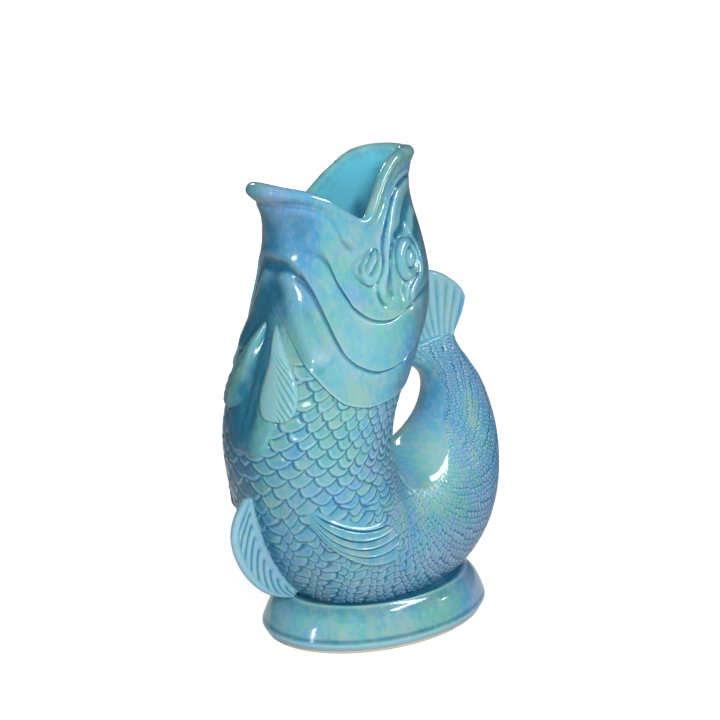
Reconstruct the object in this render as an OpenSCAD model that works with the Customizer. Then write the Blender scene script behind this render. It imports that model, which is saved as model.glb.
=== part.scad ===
// Gurgle jug: a glazed jug in the shape of a standing fish on an oval foot.
// The fish's open mouth is the spout, and its curled tail is the hollow handle.
// Millimetres, +Z up, +X towards the handle, +Y to the fish's right side.
// The jug stands on z = 0 and is the same on both sides of y = 0.

/* [Jug] */
// Height from the table to the tip of the upper jaw
jug_h = 270; // [250:1:290]
// Length from the breast to the outside of the tail
body_l = 180; // [170:1:190]
// Width across the belly
body_w = 104; // [98:1:112]
// Thickness of the fired clay wall
wall_t = 5; // [4:0.5:6]
// How far the middle of the fish's slices lies behind the middle of the whole jug
fish_back = 7; // [5:0.5:9]

/* [Foot] */
// Length of the oval foot
foot_l = 144; // [138:1:150]
// How far the foot stands in from the widest line of the belly, on each side
foot_step = 0.5; // [0:0.25:2]
// Height of the foot up to the floor of the belly
foot_h = 24; // [21:1:27]
// Height at which the foot is widest
foot_edge_h = 5; // [4:0.5:7]
// How far the foot draws in under its widest line, on each side
foot_bevel = 2; // [1:0.25:3]
// How far the dome of the foot draws in over its widest line, on each side
foot_inset = 10; // [9:0.5:11]
// How far the dome bulges out from a straight slope
foot_bulge = 1; // [0:0.25:2]
// Thickness of the foot's wall
foot_wall_t = 6; // [5:0.5:7]
// How far the foot's centre lies behind the middle of the fish's slices
foot_back = 0; // [-2:0.5:2]
// Height of the bare clay ring under the foot
ring_h = 2; // [1.5:0.5:3]
// Width of the bare clay ring
ring_t = 4.5; // [3:0.5:5]

/* [Mouth and head] */
// Diameter of the rolled bead round the mouth
lip_d = 6; // [5.4:0.2:6.6]
// How far the lower edge of each gill plate stands out
plate_h = 2.4; // [1:0.2:3.2]
// Height of the lobes behind the corners of the mouth
leaf_h = 2.6; // [1.5:0.1:3.5]
// Diameter of the eyeball
eye_d = 11; // [9:0.5:12]
// Height of the eyeball over the skin
eye_h = 3.6; // [2:0.2:5]
// Gap between the eyeball and the ring round it
eye_gap = 2; // [1.5:0.1:2.5]
// Width of the raised ring round the eye
eye_ring_t = 4; // [3:0.25:4.5]
// Height of the ring over the skin
eye_ring_h = 2.4; // [1.5:0.1:3.5]

/* [Fins] */
// Height of the breast fins over the skin
pectoral_h = 2.8; // [1.5:0.1:3.5]
// Height of the flank fins over the skin
flank_h = 3; // [2:0.1:4]
// How far the front fin stands out from the belly
front_fin_w = 18; // [15:0.5:20]
// Thickness of the front fin at its root
front_fin_t = 5; // [3.5:0.5:7]
// Height of the fan over the end of the tail
tail_fin_h = 36.5; // [34:0.5:39]
// Thickness of the fan at its root
tail_fin_t = 9; // [7:0.5:10]
// Thickness of both keel fins at their edges
fin_edge_t = 3.2; // [2.5:0.1:3.5]
// Height of the ribs on the fins
rib_h = 0.7; // [0.3:0.1:1]
// Height of the fins' edges over the skin
fin_lift = 1; // [0.6:0.1:1.4]

/* [Hidden] */
$fn = 96;

// Gap under a piece that is stuck on, filled with slip on the real jug
seat_gap = 0.2;
foot_w = body_w - 2 * foot_step;
foot_ratio = foot_l / foot_w;
floor_z = foot_h + wall_t;
lip_r = lip_d / 2;

// Stations of the fish, from above the mouth down to the foot and up the tail.
// Each is a slice with its front edge (x, z), its back edge (x, z) and its half width.
// x is a share of body_l, z a share of jug_h and the half width a share of body_w.
station_shares = [
    [-0.552, 1.038,  0.122, 1.042, 0.220],
    [-0.516, 0.993,  0.124, 0.997, 0.224],
    [-0.475, 0.952,  0.111, 0.956, 0.238],
    [-0.434, 0.915,  0.104, 0.919, 0.256],
    [-0.404, 0.876,  0.112, 0.880, 0.281],
    [-0.390, 0.833,  0.129, 0.836, 0.320],
    [-0.386, 0.786,  0.139, 0.789, 0.366],
    [-0.389, 0.742,  0.139, 0.744, 0.408],
    [-0.401, 0.696,  0.126, 0.697, 0.443],
    [-0.415, 0.647,  0.091, 0.648, 0.471],
    [-0.442, 0.592,  0.045, 0.593, 0.490],
    [-0.473, 0.537, -0.003, 0.541, 0.498],
    [-0.496, 0.483, -0.033, 0.493, 0.500],
    [-0.509, 0.427, -0.042, 0.448, 0.500],
    [-0.503, 0.366, -0.036, 0.411, 0.500],
    [-0.478, 0.287, -0.022, 0.379, 0.500],
    [-0.431, 0.201, -0.003, 0.360, 0.496],
    [-0.352, 0.123,  0.014, 0.352, 0.487],
    [-0.233, 0.065,  0.031, 0.349, 0.472],
    [-0.077, 0.034,  0.050, 0.349, 0.452],
    [ 0.078, 0.034,  0.070, 0.351, 0.428],
    [ 0.219, 0.053,  0.091, 0.356, 0.399],
    [ 0.334, 0.093,  0.115, 0.365, 0.365],
    [ 0.416, 0.147,  0.141, 0.378, 0.328],
    [ 0.465, 0.214,  0.169, 0.394, 0.289],
    [ 0.484, 0.287,  0.195, 0.414, 0.250],
    [ 0.480, 0.358,  0.209, 0.437, 0.213],
    [ 0.456, 0.423,  0.214, 0.463, 0.180],
    [ 0.418, 0.480,  0.205, 0.489, 0.153],
    [ 0.369, 0.526,  0.174, 0.514, 0.130],
    [ 0.331, 0.560,  0.110, 0.538, 0.105],
    [ 0.317, 0.590,  0.019, 0.557, 0.070]
];
// How much wider each slice is in front than behind, by station
egg_shares = [[0, 0.16], [3, 0.12], [6.5, 0]];

// Stations of the edges that run round the head, by the angle from the front.
// The bead's centre line on the mouth's rim
rim_share = [
    [0, 2.62], [24, 2.60], [38, 2.66], [48, 2.85], [57, 3.18], [66, 3.75], [74, 4.28],
    [80, 4.36], [86, 4.12], [94, 3.55], [102, 2.95], [110, 2.36], [118, 1.87],
    [126, 1.50], [138, 1.26], [155, 1.17], [180, 1.21]
];
// The lower edge of the cheek plate
cheek_share = [
    [0, 4.3], [15, 4.35], [30, 4.55], [39, 4.80], [45, 5.40], [50, 6.45], [58, 7.45],
    [70, 8.00], [84, 8.10], [96, 7.75], [115, 7.1], [140, 6.6], [180, 6.4]
];
// The lower edge of the middle plate
plate_share = [
    [0, 5.30], [15, 5.45], [26, 5.95], [33, 6.70], [40, 7.60], [48, 8.60], [56, 9.28],
    [66, 9.65], [80, 9.88], [94, 9.80], [104, 9.55], [120, 9.0], [145, 8.5], [180, 8.3]
];
// The gill's edge, where the head ends and the belly begins
gill_share = [
    [0, 7.75], [8, 8.15], [15, 8.65], [29, 9.52], [40, 10.05], [52, 10.55], [64, 10.95],
    [80, 11.12], [95, 11.05], [110, 10.9], [130, 10.65], [155, 10.4], [180, 10.3]
];
// How crisp each plate's edge is, by the angle from the front
crisp_share = [
    [0, 0.2], [18, 0.35], [34, 0.8], [48, 1], [96, 1], [112, 0.6], [135, 0.15], [180, 0]
];
// Share of a plate's length over which its edge falls back to the skin
step_share = 0.05;

// Station where the tail is luted to the belly
joint_station = 22;
// Stations where the tail's outside and its bore end
tail_end = 31;
bore_end = 29.4;
// Share of a station that is left open between the head, the belly and the tail
seam_share = 0.01;

// Samples round a slice, and rings along each length
around = 60;
belly_rings = 22;
bore_rings = 12;
tail_rings = 20;
plate_rings = 6;

// Value at s in a list of rows, on a smooth curve through the rows
function along(rows, s) =
    let (
        last = len(rows) - 1,
        c = max(0, min(last - 0.00001, s)),
        i = floor(c),
        t = c - i,
        p1 = rows[i],
        p2 = rows[i + 1],
        p0 = i > 0 ? rows[i - 1] : 2 * p1 - p2,
        p3 = i + 2 <= last ? rows[i + 2] : 2 * p2 - p1
    )
    p1 + (p2 - p0) * t / 2 + (2 * p0 - 5 * p1 + 4 * p2 - p3) * t * t / 2
        + (3 * p1 - p0 - 3 * p2 + p3) * t * t * t / 2;

// Value at angle a in a list of [angle, value], the same on both sides of the front
function round_value(pairs, a) =
    let (
        turn = abs(a > 180 ? a - 360 : a),
        order = [for (i = [0 : len(pairs) - 1]) [pairs[i][0], i]]
    )
    along(pairs, lookup(turn, order))[1];

function mix(a, b, t) = a + (b - a) * t;

// Point on the fish at station s and angle a, lifted off the skin.
// The angle runs from the front over the left side (-Y) to the back.
function skin(s, a, lift = 0) =
    let (
        q = along(station_shares, s),
        front = [q[0] * body_l, q[1] * jug_h],
        back = [q[2] * body_l, q[3] * jug_h],
        reach = (front - back) / 2,
        grow = 1 + lift / norm(reach),
        xz = (front + back) / 2 + reach * grow * cos(a),
        y = -(q[4] * body_w + lift) * sin(a) * (1 + lookup(s, egg_shares) * cos(a))
    )
    [fish_back + xz[0], y, xz[1]];

// Length of the skin along one station, and across one degree
probe = 0.05;
function station_len(s, a) = norm(skin(s + probe, a) - skin(s - probe, a)) / (2 * probe);
function degree_len(s, a) = norm(skin(s, a + probe) - skin(s, a - probe)) / (2 * probe);

// Height of the gill plates over the skin: each rises to its lower edge
function shingle(t) = t * t * t;
function plates(s, a) =
    let (
        rim = round_value(rim_share, a),
        cheek = round_value(cheek_share, a),
        middle = round_value(plate_share, a),
        gill = round_value(gill_share, a),
        t = s < cheek ? (s - rim) / (cheek - rim)
            : s < middle ? (s - cheek) / (middle - cheek)
            : s < gill ? (s - middle) / (gill - middle) : 0
    )
    plate_h * round_value(crisp_share, a) * shingle(max(0, t));

// Faces of rings with n points each. The ends are joined to each other ("wrap"),
// closed with a fan ("fan") or sewn side to side ("strip").
function side_faces(m, n, wrap) = [
    for (i = [0 : 1 : m - (wrap ? 1 : 2)], j = [0 : 1 : n - 1])
        let (
            a = i * n + j,
            b = i * n + (j + 1) % n,
            c = (i + 1) % m * n + (j + 1) % n,
            d = (i + 1) % m * n + j
        )
        each [[a, b, c], [a, c, d]]
];
function fan_faces(m, n) = [
    for (j = [0 : 1 : n - 1])
        each [
            [(j + 1) % n, j, m * n],
            [(m - 1) * n + j, (m - 1) * n + (j + 1) % n, m * n + 1]
        ]
];
function strip_faces(m, n) = [
    for (j = [0 : 1 : n / 2 - 2])
        let (o = (m - 1) * n)
        each [
            [j, n - 1 - j, n - 2 - j],
            [j, n - 2 - j, j + 1],
            [o + j, o + n - 2 - j, o + n - 1 - j],
            [o + j, o + j + 1, o + n - 2 - j]
        ]
];
function total(rows, i = 0) = i == len(rows) - 1 ? rows[i] : rows[i] + total(rows, i + 1);
function centre_of(points) = total(points) / len(points);

module loft(rings, ends) {
    m = len(rings);
    n = len(rings[0]);
    body = [for (ring = rings) each ring];
    tips = ends == "fan" ? [centre_of(rings[0]), centre_of(rings[m - 1])] : [];
    caps = ends == "fan" ? fan_faces(m, n) : ends == "strip" ? strip_faces(m, n) : [];
    polyhedron(
        points = concat(body, tips),
        faces = concat(side_faces(m, n, ends == "wrap"), caps),
        convexity = 10
    );
}

// A flat or curved slab between a top and a bottom grid of points
module slab(top, bottom) {
    loft(
        [for (i = [0 : len(top) - 1])
            concat(top[i], [for (j = [len(bottom[i]) - 1 : -1 : 0]) bottom[i][j]])],
        "strip"
    );
}

// Both sides of the jug from one: the left side is drawn, the right is its mirror
module on_side(side) {
    mirror([0, side == "right" ? 1 : 0, 0]) children();
}

turns = [for (i = [0 : around - 1]) i * 360 / around];
function backwards(list) = [for (i = [len(list) - 1 : -1 : 0]) list[i]];

// Foot

// Half outline of the domed foot, drawn in by a wall
function dome(wall) = concat(
    [[foot_w / 2 - foot_bevel * (1 - ring_h / foot_edge_h) - wall, ring_h]],
    [
        for (i = [0 : dome_steps])
            let (u = i / dome_steps)
            [
                foot_w / 2 - wall - foot_inset * u + foot_bulge * 4 * u * (1 - u),
                mix(foot_edge_h, foot_h, u)
            ]
    ]
);
dome_steps = 8;

// Places what is drawn round the foot's own axis
module on_foot() {
    translate([fish_back + foot_back, 0, 0]) children();
}

module foot() {
    color("mediumturquoise")
        on_foot()
            scale([foot_ratio, 1, 1])
                rotate_extrude()
                    polygon(concat(dome(0), backwards(dome(foot_wall_t))));
}

// Outline of an oval with the foot's proportions
function oval(half_w) = [
    for (i = [0 : $fn - 1])
        let (a = i * 360 / $fn)
        half_w * [foot_ratio * cos(a), sin(a)]
];

module foot_ring() {
    outer = foot_w / 2 - foot_bevel;
    color("antiquewhite")
        on_foot()
            linear_extrude(ring_h)
                difference() {
                    polygon(oval(outer));
                    polygon(oval(outer - ring_t));
                }
}

// Body

// A ring of the skin with the floor of the belly pressed flat
function body_ring(s_of, lift, floor_at) = [
    for (a = turns)
        let (p = skin(s_of(a), a, lift))
        [p[0], p[1], max(p[2], floor_at)]
];
function belly_station(a, t) = mix(round_value(gill_share, a) + seam_share, joint_station, t);

module belly() {
    outer = [
        for (i = [0 : belly_rings])
            body_ring(function (a) belly_station(a, i / belly_rings), 0, foot_h)
    ];
    inner = [
        for (i = [0 : bore_rings])
            body_ring(function (a) belly_station(a, i / bore_rings), -wall_t, floor_z)
    ];
    color("turquoise") loft(concat(outer, backwards(inner)), "wrap");
}

module tail() {
    first = joint_station + seam_share;
    outer = [
        for (i = [0 : tail_rings])
            body_ring(function (a) mix(first, tail_end, i / tail_rings), 0, 0)
    ];
    inner = [
        for (i = [0 : bore_rings])
            body_ring(function (a) mix(first, bore_end, i / bore_rings), -wall_t, 0)
    ];
    color("lightseagreen") loft(concat(backwards(inner), outer), "fan");
}

// Head

// Station of the head's upper edge: the rim less the bead, square to the rim
function rim_station(a) = round_value(rim_share, a);
function head_top(a) =
    let (
        s = rim_station(a),
        rise = (rim_station(a + 1) - rim_station(a - 1)) / 2,
        slope = rise * station_len(s, a) / degree_len(s, a),
        down = (skin(s + probe, a) - skin(s - probe, a)) / (2 * probe),
        square_len = norm(cross(unit(skin(s, a, wall_t) - skin(s, a)), down))
    )
    s + (lip_r + 4 * seat_gap) * sqrt(1 + slope * slope) / square_len;

// A ring of the head between two edges, at share t of the way down
function head_ring(from, to, t, raised) = [
    for (a = turns)
        let (s = mix(from(a), to(a), t))
        skin(s, a, raised * plate_h * round_value(crisp_share, a))
];
function plate_stack(from, to) = [
    for (i = [0 : plate_rings])
        let (t = i / plate_rings)
        head_ring(from, to, t * (1 - step_share), shingle(t))
];

module head() {
    top = function (a) head_top(a);
    cheek = function (a) round_value(cheek_share, a);
    middle = function (a) round_value(plate_share, a);
    gill = function (a) round_value(gill_share, a);
    outer = concat(plate_stack(top, cheek), plate_stack(cheek, middle), plate_stack(middle, gill));
    inner = [
        for (i = [0 : bore_rings])
            [for (a = turns) skin(mix(top(a), gill(a), i / bore_rings), a, -wall_t)]
    ];
    color("paleturquoise") loft(concat(outer, backwards(inner)), "wrap");
}

// The bead is swept round the rim, square to its centre line
bead_sides = 8;
function unit(v) = v / norm(v);
function bead_ring(a) =
    let (
        s = rim_station(a),
        here = skin(s, a, -wall_t / 2),
        ahead = skin(rim_station(a + 1), a + 1, -wall_t / 2),
        behind = skin(rim_station(a - 1), a - 1, -wall_t / 2),
        way = unit(ahead - behind),
        out = skin(s, a, wall_t / 2) - here,
        side = unit(out - way * (out * way)),
        up = cross(way, side)
    )
    [
        for (i = [0 : bead_sides - 1])
            let (b = i * 360 / bead_sides)
            here + lip_r * (side * cos(b) + up * sin(b))
    ];

module lip() {
    color("darkturquoise") loft([for (a = backwards(turns)) bead_ring(a)], "wrap");
}

// Fins that stand in the middle plane, and the leaves on the skin

// Rounded ribs across t from 0 to 1, count of them
function ribs(t, count) = rib_h * abs(sin(180 * count * t));
samples_per_rib = 4;

// A point of the middle plane moved to one side by a half thickness
function beside(p, half) = [p[0], half, p[2]];

// Outer ends of the fan's rays from the head to the outside, as shares of tail_fin_h
// from the outer end of the tail's tip
fan_tip_share = [
    [-0.87, 0.87], [-0.74, 1.00], [-0.50, 0.985], [-0.26, 0.92], [-0.03, 0.80],
    [0.16, 0.66], [0.26, 0.50]
];
// How far the outer edge bows out
fan_bow_share = 0.04;
fan_ribs = 9;
fan_rings = 8;
// Stations of the head's back between which the fan's inner edge lies
fan_low = 10.62;
fan_high = 7.6;

function fan_inner(u) = skin(mix(fan_low, fan_high, u), 180, 2 * seat_gap);
function fan_outer_root() = skin(tail_end, 0) + [0, 0, seat_gap];
function fan_tip(v) =
    let (q = along(fan_tip_share, v * (len(fan_tip_share) - 1)) * tail_fin_h)
    fan_outer_root() + [q[0], 0, q[1]];
function fan_point(u, v) =
    let (
        ray = mix(mix(fan_inner(0), fan_outer_root(), v), fan_tip(v), u),
        edge = mix(fan_inner(0), fan_tip(0), u)
    )
    ray + (fan_inner(u) - edge) * (1 - v) * (1 - v)
        + [fan_bow_share * tail_fin_h * sin(180 * u) * v * v, 0, 0];
function fan_half(u, v) =
    mix(tail_fin_t, fin_edge_t, sqrt(max(u, abs(2 * v - 1) ^ 4))) / 2 + ribs(v, fan_ribs) * sqrt(u);

module tail_fin() {
    n = fan_ribs * samples_per_rib;
    side = function (sign) [
        for (i = [0 : fan_rings])
            let (u = i / fan_rings)
            [for (j = [0 : n]) beside(fan_point(u, j / n), sign * fan_half(u, j / n))]
    ];
    color("skyblue") slab(side(1), side(-1));
}

// Width of the front fin along its root, from the breast down to the foot
front_width_share = [0.14, 0.62, 0.90, 1.00, 1.00, 0.95, 0.85, 0.70, 0.48, 0.20];
front_ribs = 10;
front_rings = 3;
front_top = 14.45;
front_end = 17.3;

function front_point(u, v) =
    let (
        s = mix(front_top, front_end, u),
        root = skin(s, 0, seat_gap),
        out = unit(skin(s, 0, wall_t) - skin(s, 0)),
        w = front_fin_w * along(front_width_share, u * (len(front_width_share) - 1))
    )
    root + out * w * v;
function front_half(u, v) =
    mix(front_fin_t, fin_edge_t, v) / 2 + ribs(u, front_ribs) * v * (1 - v);

module front_fin() {
    m = front_ribs * samples_per_rib;
    side = function (sign) [
        for (i = [0 : m])
            let (u = i / m)
            [
                for (j = [0 : front_rings])
                    let (v = j / front_rings)
                    beside(front_point(u, v), sign * front_half(u, v))
            ]
    ];
    color("powderblue") slab(side(1), side(-1));
}

// A point stuck on the skin, lifted over the gill plates
function stuck(s, a, h) = skin(s, a, plates(s, a) + seat_gap + h);

// A leaf on the skin. Its rows are [station, first angle, last angle].
leaf_rows = 12;
leaf_columns = 14;
module skin_leaf(rows, height, rib_count) {
    cell = function (i, j, raised)
        let (
            u = i / leaf_rows,
            v = j / leaf_columns,
            r = along(rows, u * (len(rows) - 1)),
            crown = sqrt(max(0, 4 * v * (1 - v))) * sqrt(max(0, 1 - (2 * u - 1) ^ 4)),
            h = mix(fin_lift, height, crown) + ribs(v, rib_count) * u
        )
        stuck(r[0], mix(r[1], r[2], v), raised ? h : 0);
    grid = function (raised)
        [for (i = [0 : leaf_rows]) [for (j = [0 : leaf_columns]) cell(i, j, raised)]];
    slab(grid(true), grid(false));
}

// Breast fin, from the throat down
pectoral_share = [
    [8.25, 4, 6], [8.6, 3, 8], [9.1, 3, 13.5], [9.6, 3, 20], [10.1, 3.5, 27],
    [10.7, 4.5, 33], [11.2, 6.5, 34.5], [11.5, 10, 32.5], [11.72, 17, 27]
];
pectoral_ribs = 4;

module pectoral_fin(side) {
    color("aquamarine")
        on_side(side)
            skin_leaf(pectoral_share, pectoral_h, pectoral_ribs);
}

// Lobe behind the corner of the mouth, from the top down
leaf_share = [
    [5.2, 78, 83], [5.35, 70, 82.5], [5.6, 64, 81.5], [5.9, 62, 80], [6.2, 63, 78],
    [6.5, 65.5, 74.5], [6.72, 68, 71]
];

module cheek_leaf(side) {
    color("lightcyan")
        on_side(side)
            skin_leaf(leaf_share, leaf_h, 0);
}

// Flank fin: its upper and lower edges from the root to the trailing edge, as
// [station, angle], and how far the trailing edge bulges between them, in degrees
flank_upper_share = [[14.42, 40], [14.75, 56], [15.2, 72], [15.72, 88]];
flank_lower_share = [
    [14.5, 38.5], [15.15, 44.5], [15.7, 52], [16.3, 60], [16.95, 69], [17.6, 81]
];
flank_bulge = 9;
flank_ribs = 9;
flank_rings = 10;
// How soon the fin rises to its full height from its upper and lower edges
flank_crispness = 8;

function flank_place(u, v) =
    mix(
        along(flank_upper_share, u * (len(flank_upper_share) - 1)),
        along(flank_lower_share, u * (len(flank_lower_share) - 1)),
        v
    ) + [0, flank_bulge * u ^ 4 * 4 * v * (1 - v)];
function flank_height(u, v) =
    mix(fin_lift, flank_h, (1 - u / 2) * min(1, flank_crispness * v * (1 - v)))
        + ribs(v, flank_ribs) * min(1, 2 * u);

module flank_fin(side) {
    n = flank_ribs * (samples_per_rib - 1);
    cell = function (u, v, raised)
        let (q = flank_place(u, v))
        stuck(q[0], q[1], raised ? flank_height(u, v) : 0);
    grid = function (raised) [
        for (i = [0 : flank_rings])
            [for (j = [0 : n]) cell(i / flank_rings, j / n, raised)]
    ];
    color("cadetblue") on_side(side) slab(grid(false), grid(true));
}

// Eyes

eye_station = 5.85;
eye_angle = 107;
// The eye is taller than it is wide
eye_width_share = 0.86;
eye_sides = 28;
// Rings of the eyeball from its top to its edge, as shares of its radius
eye_ring_share = [0.3, 0.6, 0.85, 1];

// A point at distance r from the eye's centre, b round it, h over the skin
function eye_point(r, b, h) =
    stuck(
        eye_station + r * cos(b) / station_len(eye_station, eye_angle),
        eye_angle + eye_width_share * r * sin(b) / degree_len(eye_station, eye_angle),
        h
    );
function eye_circle(r, h) = [for (j = [0 : eye_sides - 1]) eye_point(r, j * 360 / eye_sides, h)];

module eye(side) {
    crown = [
        for (k = eye_ring_share)
            eye_circle(k * eye_d / 2, fin_lift / 2 + (eye_h - fin_lift / 2) * sqrt(1 - k * k))
    ];
    base = [for (k = backwards(eye_ring_share)) eye_circle(k * eye_d / 2, 0)];
    color("teal") on_side(side) loft(concat(crown, base), "fan");
}

// Outline of the ring's section: across as shares of eye_ring_t, up as shares of eye_ring_h
eye_ring_section_share = [[0, 0], [0.12, 0.6], [0.4, 1], [0.75, 0.8], [1, 0]];

module eye_ring(side) {
    inner = eye_d / 2 + eye_gap;
    color("steelblue")
        on_side(side)
            loft([
                for (j = [eye_sides : -1 : 1])
                    [
                        for (q = eye_ring_section_share)
                            eye_point(inner + q[0] * eye_ring_t, j * 360 / eye_sides, q[1] * eye_ring_h)
                    ]
            ], "wrap");
}

foot();
foot_ring();
belly();
head();
lip();
tail();
tail_fin();
front_fin();
pectoral_fin("left");  // pectoral_fin_left
pectoral_fin("right");  // pectoral_fin_right
flank_fin("left");  // flank_fin_left
flank_fin("right");  // flank_fin_right
eye("left");  // eye_left
eye("right");  // eye_right
eye_ring("left");  // eye_ring_left
eye_ring("right");  // eye_ring_right
cheek_leaf("left");  // cheek_leaf_left
cheek_leaf("right");  // cheek_leaf_right
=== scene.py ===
"""Gurgle jug: the looks of a glazed fish jug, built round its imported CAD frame.

The fish is one skin over a row of slices. The head, lip, belly and tail are cut from
that skin, with the gill plates, scales and creases raised in it. The fins, the lobes
and the eyes are pieces of their own on the skin, and the foot is spun.
Lengths are metres and angles run from the breast over the left side to the back.
"""

import math

import bmesh
import bpy
import numpy as np
from bpy.props import FloatProperty, FloatVectorProperty, PointerProperty
from bpy.types import Operator, Panel, PropertyGroup
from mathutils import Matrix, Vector


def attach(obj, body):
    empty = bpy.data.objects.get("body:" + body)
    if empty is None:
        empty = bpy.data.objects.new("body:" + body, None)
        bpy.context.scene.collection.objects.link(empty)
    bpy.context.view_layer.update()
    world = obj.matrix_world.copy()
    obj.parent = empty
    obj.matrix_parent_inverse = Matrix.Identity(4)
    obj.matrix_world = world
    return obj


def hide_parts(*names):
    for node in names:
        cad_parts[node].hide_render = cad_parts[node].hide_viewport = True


bl_info = {
    "name": "Gurgle jug",
    "version": (1, 0, 0),
    "blender": (4, 5, 0),
    "location": "View3D > Sidebar > Jug",
    "description": "Builds a glazed fish jug on its packed frame",
    "category": "Add Mesh",
}

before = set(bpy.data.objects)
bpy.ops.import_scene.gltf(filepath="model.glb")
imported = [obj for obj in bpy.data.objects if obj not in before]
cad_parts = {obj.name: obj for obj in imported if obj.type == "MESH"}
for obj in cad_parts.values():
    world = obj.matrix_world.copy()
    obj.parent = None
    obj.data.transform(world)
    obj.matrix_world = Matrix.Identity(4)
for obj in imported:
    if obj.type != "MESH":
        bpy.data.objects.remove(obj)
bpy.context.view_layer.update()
MM = 0.001

# The fish's skin

BODY_LENGTH = 180 * MM
BODY_HEIGHT = 270 * MM
BODY_WIDTH = 104 * MM
FISH_BACK = 7 * MM
WALL = 5 * MM

# Front edge (x, z), back edge (x, z) and half width of each slice, as shares of the
# body's length, height and width
SLICE_SHARES = np.array([
    (-0.552, 1.038, 0.122, 1.042, 0.220), (-0.516, 0.993, 0.124, 0.997, 0.224),
    (-0.475, 0.952, 0.111, 0.956, 0.238), (-0.434, 0.915, 0.104, 0.919, 0.256),
    (-0.404, 0.876, 0.112, 0.880, 0.281), (-0.390, 0.833, 0.129, 0.836, 0.320),
    (-0.386, 0.786, 0.139, 0.789, 0.366), (-0.389, 0.742, 0.139, 0.744, 0.408),
    (-0.401, 0.696, 0.126, 0.697, 0.443), (-0.415, 0.647, 0.091, 0.648, 0.471),
    (-0.442, 0.592, 0.045, 0.593, 0.490), (-0.473, 0.537, -0.003, 0.541, 0.498),
    (-0.496, 0.483, -0.033, 0.493, 0.500), (-0.509, 0.427, -0.042, 0.448, 0.500),
    (-0.503, 0.366, -0.036, 0.411, 0.500), (-0.478, 0.287, -0.022, 0.379, 0.500),
    (-0.431, 0.201, -0.003, 0.360, 0.496), (-0.352, 0.123, 0.014, 0.352, 0.487),
    (-0.233, 0.065, 0.031, 0.349, 0.472), (-0.077, 0.034, 0.050, 0.349, 0.452),
    (0.078, 0.034, 0.070, 0.351, 0.428), (0.219, 0.053, 0.091, 0.356, 0.399),
    (0.334, 0.093, 0.115, 0.365, 0.365), (0.416, 0.147, 0.141, 0.378, 0.328),
    (0.465, 0.214, 0.169, 0.394, 0.289), (0.484, 0.287, 0.195, 0.414, 0.250),
    (0.480, 0.358, 0.209, 0.437, 0.213), (0.456, 0.423, 0.214, 0.463, 0.180),
    (0.418, 0.480, 0.205, 0.489, 0.153), (0.369, 0.526, 0.174, 0.514, 0.130),
    (0.331, 0.560, 0.110, 0.538, 0.105), (0.317, 0.590, 0.019, 0.557, 0.070),
])
# How much wider a slice is in front than behind, by station
EGG_SHARES = np.array([(0, 0.16), (3, 0.12), (6.5, 0)])

# Stations of the edges that run round the head, by the angle from the breast
RIM = np.array([
    (0, 2.60), (12, 2.60), (24, 2.62), (38, 2.70), (48, 2.85), (57, 3.18), (65, 3.66), (72, 4.08),
    (78, 4.26), (84, 4.14), (90, 3.79), (96, 3.38), (102, 2.95), (110, 2.36), (118, 1.87),
    (126, 1.52), (138, 1.36), (155, 1.38), (180, 1.52),
])
CHEEK = np.array([
    (0, 4.3), (15, 4.35), (30, 4.55), (39, 4.80), (45, 5.40), (50, 6.45), (58, 7.45),
    (70, 8.00), (84, 8.10), (96, 7.75), (115, 7.1), (140, 6.6), (180, 6.4),
])
MIDDLE = np.array([
    (0, 5.30), (15, 5.45), (26, 5.95), (33, 6.70), (40, 7.60), (48, 8.60), (56, 9.28),
    (66, 9.65), (80, 9.88), (94, 9.80), (104, 9.55), (120, 9.0), (145, 8.5), (180, 8.3),
])
GILL = np.array([
    (0, 7.75), (8, 8.15), (15, 8.65), (29, 9.52), (40, 10.05), (52, 10.55), (64, 10.95),
    (80, 11.12), (95, 11.05), (110, 10.9), (130, 10.65), (155, 10.4), (180, 10.3),
])
# Each gill plate's lower edge: its line, then by the angle from the breast the share of
# the full height that it stands out and the width of its fall in millimetres
PLATES = (
    (CHEEK,
     np.array([(0, 0), (25, 0.1), (42, 0.5), (52, 0.9), (60, 1), (88, 1), (100, 0.7), (115, 0.3),
               (135, 0.1), (180, 0)]),
     np.array([(0, 14), (38, 10), (47, 5), (56, 1.5), (95, 1.5), (120, 5), (180, 9)])),
    (MIDDLE,
     np.array([(0, 0.9), (30, 1), (60, 1), (96, 1), (110, 0.8), (125, 0.4), (140, 0.15), (180, 0)]),
     np.array([(0, 9), (22, 8), (36, 6), (48, 3), (58, 1.5), (96, 1.5), (120, 4), (180, 8)])),
    (GILL,
     np.array([(0, 0), (12, 0.05), (24, 0.4), (36, 0.9), (45, 1), (96, 1), (112, 0.8), (135, 0.4),
               (180, 0.3)]),
     np.array([(0, 1), (180, 1)])),
)
# Depth of the groove below a plate's edge and bulge of the plate above it, as shares of
# the plate's height, and how late the plate rises
PLATE_GROOVE = 0.30
PLATE_BULGE = 0.30
PLATE_RISE = 2.6
# Stations where the tail leaves the belly, where it ends and where its bore ends, and the
# height of the body's floor
JOINT = 22.0
TAIL_END = 31.0
BORE_END = 29.4
FLOOR = 24 * MM

HEAD_COLUMNS = 540
BODY_COLUMNS = 540
BELLY_ROWS = 150
TAIL_ROWS = 150
# Half the step, in stations or degrees, over which a length of skin is measured
PROBE = 0.05


def read_off(table, x):
    """Value at x in a table of two columns, on straight lines."""
    return np.interp(x, *table.T)


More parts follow.
